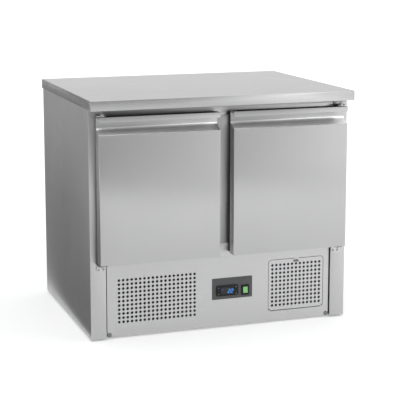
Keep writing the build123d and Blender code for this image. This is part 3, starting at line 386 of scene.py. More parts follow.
# Perforated sheet: outlines drawn flat, a grid of round holes, filled and given the sheet's thickness
def perforatedTree():
    size = {"weld": 0.00001}
    inputs = {
        "Outlines": "Geometry", "Columns": "Int", "Rows": "Int", "Pitch X": "Float", "Pitch Z": "Float",
        "Hole Radius": "Float", "Hole Sides": "Int", "Thickness": "Float", "Grid Centre": "Vector",
        "Face Depth": "Float",
    }
    tree, given = startGroup("perforatedSheet", inputs, "Sheet")

    def made(kind, values, **settings):
        return firstOut(tree, kind, values, **settings)

    def steps(count, pitch):
        less = made("ShaderNodeMath", {0: given[count], 1: 1.0}, operation="SUBTRACT")
        return made("ShaderNodeMath", {0: less, 1: given[pitch]}, operation="MULTIPLY")

    def joined(first, second):
        both = addNode(tree, "GeometryNodeJoinGeometry", {0: first})
        feed(tree, both, {0: second})
        return both.outputs[0]

    grid = made("GeometryNodeMeshGrid", {
        "Size X": steps("Columns", "Pitch X"), "Size Y": steps("Rows", "Pitch Z"),
        "Vertices X": given["Columns"], "Vertices Y": given["Rows"],
    })
    spots = made("GeometryNodeSetPosition", {"Geometry": grid, "Offset": given["Grid Centre"]})
    hole = {"Radius": given["Hole Radius"], "Resolution": given["Hole Sides"]}
    circle = made("GeometryNodeCurvePrimitiveCircle", hole)
    holes = made("GeometryNodeInstanceOnPoints", {"Points": spots, "Instance": circle})
    loose = made("GeometryNodeRealizeInstances", {0: holes})
    back = made("GeometryNodeFillCurve", {"Curve": joined(loose, given["Outlines"])})
    turn = made("GeometryNodeFlipFaces", {0: back})
    thick = {"Mesh": turn, "Offset Scale": given["Thickness"], "Individual": False}
    shell = joined(made("GeometryNodeExtrudeMesh", thick), back)
    weld = made("GeometryNodeMergeByDistance", {0: shell, "Distance": size["weld"]})
    lift = made("ShaderNodeCombineXYZ", {"Y": given["Face Depth"]})
    upright = {"Geometry": weld, "Translation": lift, "Rotation": (math.radians(90), 0, 0)}
    return endGroup(tree, given, made("GeometryNodeTransform", upright))


# One element repeated in a straight row: wires, fins and louvres
def rowTree():
    tree, given = startGroup("evenRow", {"Element": "Geometry", "Count": "Int", "Step": "Vector"}, "Row")
    line = firstOut(tree, "GeometryNodeMeshLine", {"Count": given["Count"], "Offset": given["Step"]})
    copies = firstOut(tree, "GeometryNodeInstanceOnPoints", {"Points": line, "Instance": given["Element"]})
    return endGroup(tree, given, copies)


# One element set on every vertex of a point mesh, turned at random: screws
def spotTree():
    inputs = {"Spots": "Geometry", "Element": "Object", "Spread of Turn": "Float"}
    tree, given = startGroup("onEachSpot", inputs, "Set")
    element = addNode(tree, "GeometryNodeObjectInfo", {"Object": given["Element"], "As Instance": True})
    chance = addNode(tree, "FunctionNodeRandomValue", {3: given["Spread of Turn"], "Seed": 7})
    turn = firstOut(tree, "ShaderNodeCombineXYZ", {"Y": chance.outputs[1]})
    values = {"Points": given["Spots"], "Instance": element.outputs["Geometry"], "Rotation": turn}
    return endGroup(tree, given, firstOut(tree, "GeometryNodeInstanceOnPoints", values))


def outlineObject(name, loops):
    curve = bpy.data.curves.new(name, "CURVE")
    curve.dimensions = "3D"
    for loop in loops:
        spline = curve.splines.new("POLY")
        spline.points.add(len(loop) - 1)
        for point, (x, z) in zip(spline.points, loop):
            point.co = (x, z, 0, 1)
        spline.use_cyclic_u = True
    return holderOf(curve)


def roundedLoop(x, z, width, height, radius):
    steps = 6
    loop = []
    for turn, (sx, sz) in enumerate(((1, 1), (-1, 1), (-1, -1), (1, -1))):
        middleX, middleZ = x + sx * (width / 2 - radius), z + sz * (height / 2 - radius)
        for step in range(steps + 1):
            angle = math.radians(90 * turn + 90 * step / steps)
            loop.append((middleX + radius * math.cos(angle), middleZ + radius * math.sin(angle)))
    return loop


def squareLoop(low, high, inset=0):
    x0, x1, z0, z1 = low.x + inset, high.x - inset, low.z + inset, high.z - inset
    return [(x0, z0), (x1, z0), (x1, z1), (x0, z1)]


def circleLoop(x, z, radius, count, start=0):
    angles = [start + math.tau * i / count for i in range(count)]
    return [(x + radius * math.cos(angle), z + radius * math.sin(angle)) for angle in angles]


# Faces between two closed rows of points
def band(edit, first, second):
    pairs = [(i, (i + 1) % len(first)) for i in range(len(first))]
    return [edit.faces.new((first[i], first[j], second[j], second[i])) for i, j in pairs]


# Closed rows joined each to the next, and the last to the first
def hoop(edit, rows):
    made = []
    for first, second in zip(rows, rows[1:] + rows[:1]):
        made += band(edit, first, second)
    bmesh.ops.recalc_face_normals(edit, faces=made)
    return made


# Solid between two outlines
def prism(edit, first, second):
    rows = [[edit.verts.new(point) for point in outline] for outline in (first, second)]
    made = [edit.faces.new(rows[0]), edit.faces.new(rows[1][::-1]), *band(edit, *rows)]
    bmesh.ops.recalc_face_normals(edit, faces=made)


def sheetBox(edit, *spans):
    for vert in bmesh.ops.create_cube(edit, size=1.0)["verts"]:
        vert.co = Vector([span[0] if at < 0 else span[1] for at, span in zip(vert.co, spans)])


# Turned shape: rings of the given radius and height about an axis, closed where the radius is nothing
def turned(edit, profile, centre, sides, axis="Z"):
    units = [Vector((1, 0, 0)), Vector((0, 1, 0)), Vector((0, 0, 1))]
    k = "XYZ".index(axis)
    along, first, second = units[k:] + units[:k]
    rings = []
    for radius, height in profile:
        base = Vector(centre) + along * height
        spots = circleLoop(0, 0, radius, sides) if radius else [(0, 0)]
        rings.append([edit.verts.new(base + first * u + second * w) for u, w in spots])
    made = []
    for low, high in zip(rings, rings[1:]):
        if len(low) == len(high):
            made += band(edit, low, high)
            continue
        tip, ring = (low[0], high) if len(low) == 1 else (high[0], low)
        made += [edit.faces.new((tip, ring[i], ring[i - 1])) for i in range(sides)]
    bmesh.ops.recalc_face_normals(edit, faces=made)
    for face in made:
        face.smooth = True


# Round bar or tube along a route, its corners bent at one radius
def bentBar(edit, route, radius, bend=0.0, sides=12, steps=6, closed=False):
    corners = [Vector(point) for point in route]
    count = len(corners)
    points = []
    for i, corner in enumerate(corners):
        if not closed and i in (0, count - 1):
            points.append(corner)
            continue
        before, after = corners[i - 1] - corner, corners[(i + 1) % count] - corner
        start, end = corner + before.normalized() * bend, corner + after.normalized() * bend
        for step in range(steps + 1):
            t = step / steps
            points.append(start * (1 - t) ** 2 + corner * 2 * t * (1 - t) + end * t**2)
    total = len(points)
    normal = None
    rings = []
    for i, point in enumerate(points):
        ahead = points[(i + 1) % total] if closed or i + 1 < total else point
        behind = points[i - 1] if closed or i > 0 else point
        tangent = (ahead - behind).normalized()
        if normal is None:
            normal = tangent.orthogonal().normalized()
        normal = (normal - tangent * normal.dot(tangent)).normalized()
        side = tangent.cross(normal)
        ring = circleLoop(0, 0, radius, sides)
        rings.append([edit.verts.new(point + normal * u + side * w) for u, w in ring])
    pairs = list(zip(rings, rings[1:]))
    made = []
    if closed:  # the last ring meets the first at the turn the frame has picked up on the way
        first, last = rings[0], rings[-1]
        slip = min(range(sides), key=lambda k: (last[0].co - first[k].co).length)
        pairs.append((last, first[slip:] + first[:slip]))
    else:
        made += [edit.faces.new(rings[0][::-1]), edit.faces.new(rings[-1])]
    for low, high in pairs:
        tube = band(edit, low, high)
        for face in tube:
            face.smooth = True
        made += tube
    bmesh.ops.recalc_face_normals(edit, faces=made)


perforated = perforatedTree()
evenRow = rowTree()
onEachSpot = spotTree()

perforation = {
    "Pitch X": 0.01435, "Pitch Z": 0.0139, "Hole Radius": 0.0043, "Hole Sides": 20, "Rows": 11,
    "Thickness": 0.001,
}
sheet = perforation["Thickness"]
panelLow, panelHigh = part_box("base_front_panel")
hatchLow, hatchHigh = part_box("service_hatch")
plateLow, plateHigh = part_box("control_plate")
hatchX, _, hatchZ = (hatchLow + hatchHigh) / 2
hatchWide, hatchTall = hatchHigh.x - hatchLow.x, hatchHigh.z - hatchLow.z


def perforatedSheet(name, node, loops, columns, gridCentre, build=None):
    values = {
        **perforation, "Columns": columns, "Grid Centre": (*gridCentre, 0.0),
        "Face Depth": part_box(node)[0].y, "Finish": finishes["panelSteel"],
    }
    mesh = runTree(outlineObject(name, loops), perforated, values, name)
    if build:
        drawInto(mesh, build)
    newPiece(name, mesh, None, node)


# Base panel with its perforated field, hatch opening and turned-back flanges
def makeBasePanel():
    size = {
        "columns": 19, "edge": 0.0403, "gridZ": 0.1245, "seam": 0.0016, "corner": 0.0116, "windowEdge": 0.008,
        "capHole": 0.003, "cap": 0.0075,
    }
    gridX = panelLow.x + size["edge"] + (size["columns"] - 1) * perforation["Pitch X"] / 2
    seam, hole, cap = 2 * size["seam"], size["capHole"], size["cap"]
    loops = [
        squareLoop(panelLow, panelHigh),
        roundedLoop(hatchX, hatchZ, hatchWide + seam, hatchTall + seam, size["corner"]),
        squareLoop(plateLow, plateHigh, size["windowEdge"]),
    ]
    for side in (-1, 1):
        loops.append(roundedLoop(side * (panelHigh.x - cap), panelLow.z + cap, 2 * hole, 2 * hole, hole))
    perforatedSheet("basePanelSheet", "base_front_panel", loops, size["columns"], (gridX, size["gridZ"]))

    def drawFlanges(edit):
        rows = [
            [edit.verts.new((x, y, z)) for x, z in squareLoop(panelLow, panelHigh, inset)]
            for inset in (0, sheet) for y in (panelLow.y + sheet, panelHigh.y)
        ]
        hoop(edit, [rows[0], rows[1], rows[3], rows[2]])

    drawPiece("basePanelFlanges", drawFlanges, "panelSteel", beside="base_front_panel", slot="stainless")


# Service hatch: perforated flap with a rolled knuckle along its bottom and turned-back sides
def makeHatch():
    size = {
        "columns": 13, "corner": 0.01, "knuckle": 0.0025, "knuckleInset": 0.0065, "bore": 0.00155,
        "return": 0.008, "sides": 24,
    }
    knuckle, corner = size["knuckle"], size["corner"]
    left, right = hatchLow.x + size["knuckleInset"], hatchHigh.x - size["knuckleInset"]
    low = hatchLow.z + knuckle
    step = low + 1.5 * knuckle
    loop = [point for point in roundedLoop(hatchX, hatchZ, hatchWide, hatchTall, corner) if point[1] > hatchZ]
    loop += [(hatchLow.x, step), (left, step), (left, low), (right, low), (right, step), (hatchHigh.x, step)]

    def drawBends(edit):
        rings = []
        for radius in (knuckle, size["bore"]):
            circle = circleLoop(hatchLow.y + knuckle, hatchLow.z + knuckle, radius, size["sides"])
            rings += [[edit.verts.new((end, y, z)) for y, z in circle] for end in (left, right)]
        for face in hoop(edit, [rings[0], rings[1], rings[3], rings[2]]):
            face.smooth = True
        deep = (hatchLow.y + sheet, hatchLow.y + size["return"])
        for edge in (hatchLow.x, hatchHigh.x - sheet):
            sheetBox(edit, (edge, edge + sheet), deep, (hatchLow.z + corner, hatchHigh.z - corner))

    perforatedSheet("serviceHatch", "service_hatch", [loop], size["columns"], (hatchX, hatchZ), drawBends)


makeBasePanel()
makeHatch()
print("perforated panels done")

# Folded sheet and solid parts that keep the CAD shape, with their real bends and finishes
dressed = {
    "worktop_skin": ("topSteel", 0.0006), "worktop_core": ("board", 0.0004),
    "left_side_panel": ("sideSteel", 0.0012), "right_side_panel": ("sideSteel", 0.0012),
    "frame_rails": ("panelSteel", 0.0004), "centre_mullion": ("sideSteel", 0.0004),
    "insulation": ("foam", 0.0008), "inner_liner": ("linerSteel", 0.0003),
    "machine_deck": ("galvanised", 0.0002), "base_tray": ("galvanised", 0.0005),
    "rear_panel": ("galvanised", 0.0003), "rear_grille": ("galvanised", 0.0003),
    "hatch_tab": ("capGrey", 0.0006), "hatch_hardware": ("hingeSteel", 0.0003),
    "control_plate": ("plateGrey", 0.0006), "controller_body": ("caseBlack", 0.0006),
    "controller_display": ("smokedWindow", 0.0001),
    **{f"button_{key}": ("keyBlack", 0.0004) for key in ("up", "down", "defrost", "set")},
    "switch_body": ("caseBlack", 0.0006), "switch_rocker": ("caseBlack", 0.0005),
    "hinge_brackets": ("hingeSteel", 0.0005), "hinge_pins": ("hingeSteel", 0.0006),
    "shelf_supports": ("linerSteel", 0.0004), "evaporator_cover": ("linerSteel", 0),
    "evaporator_fan_motor": ("motorBlack", 0.0005), "evaporator_fan": ("fanBlack", 0.0003),
    "fan_shroud": ("galvanised", 0.0004),
    "condenser_fan_motor": ("motorBlack", 0.0005), "condenser_fan": ("fanBlack", 0.0003),
    "compressor_mounts": ("mountRubber", 0.0008), "electrical_box": ("caseBlack", 0.001),
}
doorParts = {
    "skin": ("doorSteel", 0.0004), "handle": ("handleSteel", 0.0006), "core": ("foam", 0.0005),
    "liner": ("linerSteel", 0.0008), "bushes": ("nylon", 0.0004),
}
for side in ("left", "right"):
    dressed.update({f"door_{side}_{part}": look for part, look in doorParts.items()})
for node, (finish, width) in dressed.items():
    dress(node, finish, width)
print("dressed nodes:", len(dressed))


# Painted highlight: the upward-facing lower faces of each grip, its sloping ledge, take a much lighter copy
# of the steel than the lip over it
def paintLedgeHighlight(side):
    size = {"leastTilt": 0.2}
    low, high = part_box(f"door_{side}_handle")
    mesh = bpy.data.objects[f"door{side.capitalize()}Handle"].data
    mesh.materials.append(finishes["ledgeSteel"])
    level = (low.z + high.z) / 2
    for face in mesh.polygons:
        face.material_index = int(face.normal.z > size["leastTilt"] and face.center.z < level)


paintLedgeHighlight("left")
paintLedgeHighlight("right")


# Controller face: the same slanted digit twice in the window, a lamp dot and plain marks on the keys
def makeControls():
    size = {
        "digitTall": 0.0125, "digitWide": 0.0068, "digitGap": 0.0034, "bar": 0.0015, "slant": 0.16,
        "proud": 0.00015, "digitX": 0.0312, "digitZ": 0.1262, "dotX": 0.005, "dotZ": 0.1315, "dot": 0.0009,
        "dotSides": 12, "mark": 0.0016, "markProud": 0.0001, "markSunk": 0.0003,
    }
    bars = [((0, 1), (1, 1)), ((1, 1), (1, 0.5)), ((0, 0.5), (1, 0.5)), ((0, 0.5), (0, 0)), ((0, 0), (1, 0))]
    wide, tall, bar = size["digitWide"], size["digitTall"], size["bar"]
    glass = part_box("controller_display")[0].y

    def plate(edit, outline, front, back):
        prism(edit, [(x, front, z) for x, z in outline], [(x, back, z) for x, z in outline])

    def drawDigits(edit):
        startZ = size["digitZ"] - tall / 2
        for order in (0, 1):
            startX = size["digitX"] + (order - 1) * (wide + size["digitGap"]) + size["digitGap"] / 2
            for spots in bars:
                low, high = [Vector((u * wide, w * tall)) for u, w in spots]
                along = (high - low).normalized()
                across = Vector((-along.y, along.x)) * bar / 2
                low, high = low + along * bar * 0.6, high - along * bar * 0.6
                tips = [low - along * bar / 2, high + along * bar / 2]
                outline = [tips[0], low + across, high + across, tips[1], high - across, low - across]
                slanted = [(startX + x + z * size["slant"], startZ + z) for x, z in outline]
                plate(edit, slanted, glass - size["proud"], glass)
        dot = circleLoop(size["dotX"], size["dotZ"], size["dot"], size["dotSides"])
        plate(edit, dot, glass - size["proud"], glass)

    drawPiece("displayDigits", drawDigits, "blueDigit", beside="controller_display", slot="display")
    m = size["mark"]
    marks = {
        "button_up": [(-m, -m * 0.7), (m, -m * 0.7), (0, m)],
        "button_down": [(-m, m * 0.7), (0, -m), (m, m * 0.7)],
        "button_set": [(-m, -m * 0.5), (m, -m * 0.5), (m, m * 0.5), (-m, m * 0.5)],
        "button_defrost": circleLoop(0, 0, m, 6),
    }
    for node, outline in marks.items():
        low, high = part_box(node)
        x, _, z = (low + high) / 2

        def drawMark(edit):
            placed = [(x + u, z + w) for u, w in outline]
            plate(edit, placed, low.y - size["markProud"], low.y + size["markSunk"])

        name = node.replace("button_", "mark")
        drawPiece(name, drawMark, "markGrey", beside=node, slot="black_plastic")


# Lit lens let into the rocker, and lying in its two faces
def makeLens():
    size = {
        "wide": 0.0158, "tall": 0.0202, "proud": 0.0003, "dip": 0.0006, "tilt": 6, "rows": 6, "rim": 0.94,
        "rimDrop": 0.0004, "deep": 0.003,
    }
    low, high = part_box("switch_rocker")
    x, _, z = (low + high) / 2
    slope = math.tan(math.radians(size["tilt"]))
    face = low.y + (high.z - low.z) / 2 * slope

    def around(grid):
        return grid[0] + [row[-1] for row in grid[1:-1]] + grid[-1][::-1] + [row[0] for row in grid[-2:0:-1]]

    def draw(edit):
        grids = [[], []]
        for k in range(size["rows"] + 1):
            w = (k / size["rows"] - 0.5) * size["tall"]
            ahead = face + w * slope + size["dip"] * (1 - abs(w) / size["tall"] * 2) - size["proud"]
            for grid, edge, centre in zip(grids, (size["rimDrop"], size["deep"]), (0, size["deep"])):
                row = [(-1, edge), (-size["rim"], centre), (size["rim"], centre), (1, edge)]
                grid.append([edit.verts.new((x + u * size["wide"] / 2, ahead + y, z + w)) for u, y in row])
        made = band(edit, *map(around, grids))
        for grid in grids:
            for a, b in zip(grid, grid[1:]):
                made += [edit.faces.new((a[i], a[i + 1], b[i + 1], b[i])) for i in range(3)]
        bmesh.ops.recalc_face_normals(edit, faces=made)

    drawPiece("rockerLens", draw, "greenLens", beside="switch_rocker", slot="green_lens")


# Round caps over the two fixings at the foot of the base panel
def makeCaps():
    size = {"cap": 0.0075, "shank": 0.003, "crown": 0.0007, "sides": 36}
    low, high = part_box("panel_fixings")
    r, crown, shank = size["cap"], size["crown"], size["shank"]
    front, back = low.y - panelLow.y, high.y - panelLow.y
    profile = [
        (0, front), (r * 0.5, front + crown * 0.3), (r * 0.86, front + crown), (r, front + 2.4 * crown),
        (r, 0), (shank, 0), (shank, back), (0, back),
    ]

    def draw(edit):
        for x in (low.x + r, high.x - r):
            turned(edit, profile, (x, panelLow.y, (low.z + high.z) / 2), size["sides"], "Y")

    drawPiece("panelFixings", draw, "capGrey", "panel_fixings")


# Pan-head screws on the hinge plates, the rear panel and the rear grille
def makeScrews():
    size = {
        "head": 0.0038, "tall": 0.0018, "slot": 0.0006, "sunk": 0.0002, "sides": 14, "turn": 1.5,
        "plateMiddle": 0.0155, "apart": 0.0155, "rise": 0.009, "plateFront": 0.009,
        "rearEdge": 0.03, "rearFoot": 0.04, "rearLift": 0.02, "grilleEdge": 0.006,
    }
    low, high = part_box("hinge_brackets")
    rearLow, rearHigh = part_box("rear_panel")
    grilleLow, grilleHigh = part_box("rear_grille")
    tall, floor, edge, inset = size["tall"], size["tall"] - size["slot"], size["rearEdge"], size["grilleEdge"]
    profile = [
        (0, -tall), (0.25, -tall), (0.3, -floor), (0.5, -floor), (0.55, -tall), (0.85, -tall * 0.8),
        (1, -tall * 0.3), (1, size["sunk"]), (0, size["sunk"]),
    ]
    front = [
        (x + dx, panelLow.y - size["plateFront"], low.z + size["rise"])
        for x in (low.x + size["plateMiddle"], high.x - size["plateMiddle"])
        for dx in (-size["apart"] / 2, size["apart"] / 2)
    ]
    middle = (rearLow.z + rearHigh.z) / 2
    levels = (rearLow.z + size["rearFoot"], middle + size["rearLift"], rearHigh.z - edge)
    rear = [(x, rearHigh.y, z) for x in (rearLow.x + edge, 0.0, rearHigh.x - edge) for z in levels]
    rear += [
        (x, grilleHigh.y, z) for x in (grilleLow.x + inset, grilleHigh.x - inset)
        for z in (grilleLow.z + inset, grilleHigh.z - inset)
    ]
    for name, spots, facing in (("hingeScrews", front, 1), ("rearScrews", rear, -1)):
        def drawHead(edit):
            shape = [(size["head"] * across, facing * height) for across, height in profile]
            turned(edit, shape, (0, 0, 0), size["sides"], "Y")

        element = holderOf(meshFrom("screwHead", drawHead))
        holder = holderOf(meshFrom(name, lambda edit: [edit.verts.new(spot) for spot in spots]))
        values = {"Element": element, "Spread of Turn": size["turn"], "Finish": finishes["zincPlate"]}
        mesh = runTree(holder, onEachSpot, values, name)
        bpy.data.objects.remove(element)
        newPiece(name, mesh, None, beside="hinge_brackets", slot="foot_steel")


# One drawn element repeated along X or Z, as a plain mesh
def rowMesh(name, build, count, step, finish):
    values = {"Count": count, "Step": step, "Finish": finishes[finish]}
    return runTree(holderOf(meshFrom(name, build)), evenRow, values, name)


# Wire shelves: a bent rim, a cross bar and a row of wires
def makeShelf(node):
    size = {"rim": 0.003, "wire": 0.0015, "wires": 13, "bend": 0.012}
    low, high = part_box(node)
    rim, thin = size["rim"], size["wire"]
    x0, x1, y0, y1 = low.x + rim, high.x - rim, low.y + rim, high.y - rim
    pitch = (high.x - low.x - 2 * rim) / (size["wires"] + 1)
    wire = [(x0 + pitch, y, high.z - thin) for y in (y0, y1)]
    bar = [(x, (y0 + y1) / 2, low.z + thin) for x in (x0, x1)]
    outline = [(x, y, low.z + rim) for x, y in ((x0, y0), (x1, y0), (x1, y1), (x0, y1))]

    def drawRim(edit):
        bentBar(edit, outline, rim, size["bend"], closed=True)
        bentBar(edit, bar, thin)

    def drawWire(edit):
        bentBar(edit, wire, thin)

    name = camelName(node)
    wires = rowMesh(name, drawWire, size["wires"], (pitch, 0.0, 0.0), "wireCoat")
    newPiece(name, drawInto(wires, drawRim), "wireCoat", node)


# Finned coils: thin plates in a row between two end plates, with straight copper tubes through them
def makeCoil(node, fin, pitch, rows):
    size = {"edge": 0.0015, "tube": 0.004, "sides": 10}
    low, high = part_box(node)
    edge = size["edge"]
    left, right, bottom, top = low.x + edge, high.x - edge, low.z + edge, high.z - edge
    deep, y = (low.y, high.y), (low.y + high.y) / 2
    count = int((high.x - low.x - 2 * edge) / pitch)
    step = ((high.x - low.x - 2 * edge - fin) / (count - 1), 0.0, 0.0)
    gap = (high.z - low.z - 2 * edge) / rows

    def drawFin(edit):
        sheetBox(edit, (left, left + fin), deep, (bottom, top))

    def drawEnds(edit):
        for x in ((low.x, left), (right, high.x)):
            sheetBox(edit, x, deep, (low.z, high.z))

    def drawTubes(edit):
        for k in range(rows):
            z = bottom + gap * (k + 0.5)
            bentBar(edit, [(left, y, z), (right, y, z)], size["tube"], sides=size["sides"])

    name = camelName(node)
    newPiece(name, drawInto(rowMesh(name, drawFin, count, step, "finAluminium"), drawEnds), None, node)
    drawPiece(f"{name}Tubes", drawTubes, "copper", beside=node, slot="copper")


# Wire guard over the evaporator fan: rings on four spokes
def makeGuard():
    size = {
        "wire": 0.0011, "reach": 0.063, "rings": 5, "eye": 0.01, "ahead": 0.002, "sides": 32, "wireSides": 6,
        "bend": 0.0001, "spokes": 4,
    }
    low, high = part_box("evaporator_cover")
    x, _, z = (low + high) / 2
    y = low.y - size["ahead"]
    wire, sides, reach = size["wire"], size["wireSides"], size["reach"]

    def draw(edit):
        for k in range(size["rings"]):
            ring = circleLoop(x, z, reach * (k + 1) / size["rings"], size["sides"])
            bentBar(edit, [(u, y, w) for u, w in ring], wire, size["bend"], sides, 1, closed=True)
        start = math.radians(45)
        spots = [circleLoop(x, z, radius, size["spokes"], start) for radius in (size["eye"], reach)]
        for ends in zip(*spots):
            bentBar(edit, [(u, y + 2 * wire, w) for u, w in ends], wire, sides=sides)

    drawPiece("evaporatorGuard", draw, "wireCoat", beside="evaporator_cover", slot="coated_wire")


# Compressor: pressed shell halves joined at a weld seam, on its foot plate, with stubs and a terminal cover
def makeCompressor():
    size = {
        "radius": 0.078, "seam": 0.081, "seamTall": 0.004, "upper": 0.075, "plate": 0.003, "seamAt": 0.55,
        "tall": 0.165, "lap": 0.001, "stub": 0.034, "stubRadius": 0.0075, "chamfer": 0.001, "cover": 0.03,
        "coverFront": 0.014, "coverBack": 0.012, "coverFoot": 0.052, "coverTop": 0.006, "sides": 56,
        "stubSides": 16, "bend": 0.0012, "bendAngle": 50,
    }
    low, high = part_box("compressor")
    x, y, _ = (low + high) / 2
    bottom = low.z + size["plate"]
    top = bottom + size["tall"]
    seam = bottom + size["tall"] * size["seamAt"]
    r, rim, upper, stub = size["radius"], size["seam"], size["upper"], size["stubRadius"]

    shell = [(0, bottom), (r * 0.8, bottom)]
    for angle in map(math.radians, (22, 45, 67, 90)):
        shell.append((r * 0.8 + r * 0.2 * math.sin(angle), bottom + r * 0.2 * (1 - math.cos(angle))))
    shell += [(r, seam - size["lap"]), (rim, seam), (rim, seam + size["seamTall"])]
    shell.append((upper, seam + size["seamTall"] + size["lap"]))
    for angle in map(math.radians, (0, 12, 25, 38, 50, 62, 74, 83)):
        shell.append((upper * math.cos(angle), top - upper * 0.5 + upper * 0.5 * math.sin(angle)))
    pipe = [(0, seam), (stub, seam), (stub, high.z - size["chamfer"]), (stub * 0.7, high.z), (0, high.z)]

    def draw(edit):
        turned(edit, [*shell, (0, top)], (x, y, 0), size["sides"])
        sheetBox(edit, (low.x, high.x), (low.y, high.y), (low.z, bottom))
        for side in (-1, 1):
            turned(edit, pipe, (x + side * size["stub"], y, 0), size["stubSides"])
        deep = (y - r - size["coverFront"], y - r + size["coverBack"])
        tall = (seam - size["coverFoot"], seam - size["coverTop"])
        sheetBox(edit, (x - size["cover"], x + size["cover"]), deep, tall)

    piece = drawPiece("compressor", draw, "motorBlack", "compressor")
    bendEdges(piece, size["bend"], size["bendAngle"], False)


# Refrigerant pipes: drawn copper tube with bends of one radius, and the filter drier in the liquid line
def makePipes():
    size = {
        "radius": 0.004, "bend": 0.02, "level": 0.214, "drier": 0.011, "drierLong": 0.09, "stub": 0.034,
        "low": 0.0305, "neck": 0.005, "sides": 14, "drierSides": 28,
    }
    shellLow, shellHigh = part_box("compressor")
    coilLow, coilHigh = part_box("condenser_coil")
    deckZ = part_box("machine_deck")[0].z
    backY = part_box("rear_panel")[0].y - 4 * size["bend"]
    x, y, _ = (shellLow + shellHigh) / 2
    top, left, right = shellHigh.z, x - size["stub"], x + size["stub"]
    coilX, coilY = coilLow.x, (coilLow.y + coilHigh.y) / 2
    drierRight = coilX - 4 * size["bend"]
    drierLeft = drierRight - size["drierLong"]
    riser = drierLeft - 4 * size["bend"]
    level, low = size["level"], size["low"]
    routes = [
        [(right, y, top), (right, y, level), (right, coilY, level), (coilX, coilY, level)],
        [(left, y, top), (left, y, level), (left, backY, level), (left, backY, deckZ)],
        [(coilX, coilY, low), (drierRight, coilY, low)],
        [(drierLeft, coilY, low), (riser, coilY, low), (riser, coilY, deckZ)],
    ]
    neck, body, long = size["neck"], size["drier"], size["drierLong"]
    half = [(0, 0), (neck, 0), (neck, body * 0.2), (body * 0.7, body * 0.55), (body, body)]
    profile = half + [(radius, long - height) for radius, height in half[::-1]]

    def draw(edit):
        for route in routes:
            bentBar(edit, route, size["radius"], size["bend"], size["sides"])
        turned(edit, profile, (drierLeft, coilY, low), size["drierSides"], "X")

    drawPiece("refrigerantPipes", draw, "copper", "refrigerant_pipes")


# Levelling feet: a turned pad on a threaded stem
def makeFoot(node):
    size = {
        "stem": 0.0049, "thread": 0.0006, "pitch": 0.0018, "chamfer": 0.0012, "pad": 0.0056, "edge": 0.001,
        "sides": 24,
    }
    low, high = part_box(node)
    pad = min(high.x - low.x, high.y - low.y) / 2
    padTop = low.z + size["pad"]
    stem, chamfer, edge = size["stem"], size["chamfer"], size["edge"]
    profile = [
        (0, low.z), (pad - chamfer, low.z), (pad, low.z + chamfer), (pad, padTop - edge),
        (pad - edge, padTop), (stem, padTop),
    ]
    level = padTop + edge
    while level + size["pitch"] < high.z:
        profile += [(stem - size["thread"], level), (stem, level + size["pitch"] / 2)]
        level += size["pitch"]
    profile += [(stem - edge, high.z), (0, high.z)]

    def draw(edit):
        x, y, _ = (low + high) / 2
        turned(edit, profile, (x, y, 0), size["sides"])

    drawPiece(camelName(node), draw, "zincPlate", node)


# Rear grille: a pressed hood over each of its slots
def makeLouvres():
    size = {
        "rows": 8, "pitch": 0.016, "wide": 0.18, "tall": 0.006, "hood": 0.005, "lap": 0.012, "sheet": 0.0007,
        "steps": 5, "drop": 1.25,
    }
    low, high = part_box("rear_grille")
    x, _, z = (low + high) / 2
    columnX = (high.x - low.x) / 4 - size["lap"] / 2
    foot = z - (size["rows"] - 1) * size["pitch"] / 2 - size["tall"] / 2
    outer, inner = [], []
    for k in range(size["steps"] + 1):
        angle = math.radians(90 * k / size["steps"])
        y, w = high.y + size["hood"] * math.sin(angle), foot + size["tall"] * size["drop"] * math.cos(angle)
        outer.append((y, w))
        inner.append((y - size["sheet"] * math.sin(angle), w - size["sheet"] * math.cos(angle)))
    outline = outer + inner[::-1]

    def hood(edit):
        for centre in (x - columnX, x + columnX):
            ends = (centre - size["wide"] / 2, centre + size["wide"] / 2)
            prism(edit, *[[(end, y, w) for y, w in outline] for end in ends])

    mesh = rowMesh("rearLouvres", hood, size["rows"], (0.0, 0.0, size["pitch"]), "galvanised")
    newPiece("rearLouvres", mesh, None, beside="rear_grille", slot="galvanised")


# Door seals: a bellows profile carried round the door with mitred corners, and a strip in the grip's top
def makeSeal(side):
    size = {
        "width": 0.012, "strip": 0.002, "stripGap": 0.0002, "stripFront": 0.003, "hingeEnd": 0.025,
        "freeEnd": 0.012, "hingeEdge": 0.018, "freeEdge": 0.002, "levelEdge": 0.002, "bend": 0.0003,
    }
    node = f"door_{side}_gasket"
    handleLow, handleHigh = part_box(f"door_{side}_handle")
    linerLow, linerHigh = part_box(f"door_{side}_liner")
    front, half = linerHigh.y, size["width"] / 2
    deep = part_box(node)[1].y - front
    right = [
        (1, 0), (1, 0.14), (0.45, 0.2), (0.3, 0.3), (0.75, 0.42), (0.3, 0.56), (0.85, 0.66), (0.92, 0.97),
        (0.8, 1),
    ]
    profile = [(-across, along) for across, along in right] + right[::-1]
    edges, ends = (size["hingeEdge"], size["freeEdge"]), (size["hingeEnd"], size["freeEnd"])
    if side == "right":
        edges, ends = edges[::-1], ends[::-1]
    x0, x1 = linerLow.x + edges[0] + half, linerHigh.x - edges[1] - half
    z0, z1 = linerLow.z + size["levelEdge"] + half, linerHigh.z - size["levelEdge"] - half
    strip = [
        (linerLow.x + ends[0], linerHigh.x - ends[1]), (handleLow.y + size["stripFront"], linerLow.y),
        (handleHigh.z - size["strip"], handleHigh.z - size["stripGap"]),
    ]

    def draw(edit):
        corners = [(x0, z0, -1, -1), (x1, z0, 1, -1), (x1, z1, 1, 1), (x0, z1, -1, 1)]
        hoop(edit, [
            [edit.verts.new((x + sx * u * half, front + w * deep, z + sz * u * half)) for u, w in profile]
            for x, z, sx, sz in corners
        ])
        sheetBox(edit, *strip)

    roundEdges(drawPiece(f"doorSeal{side.capitalize()}", draw, "sealRubber", node), size["bend"])


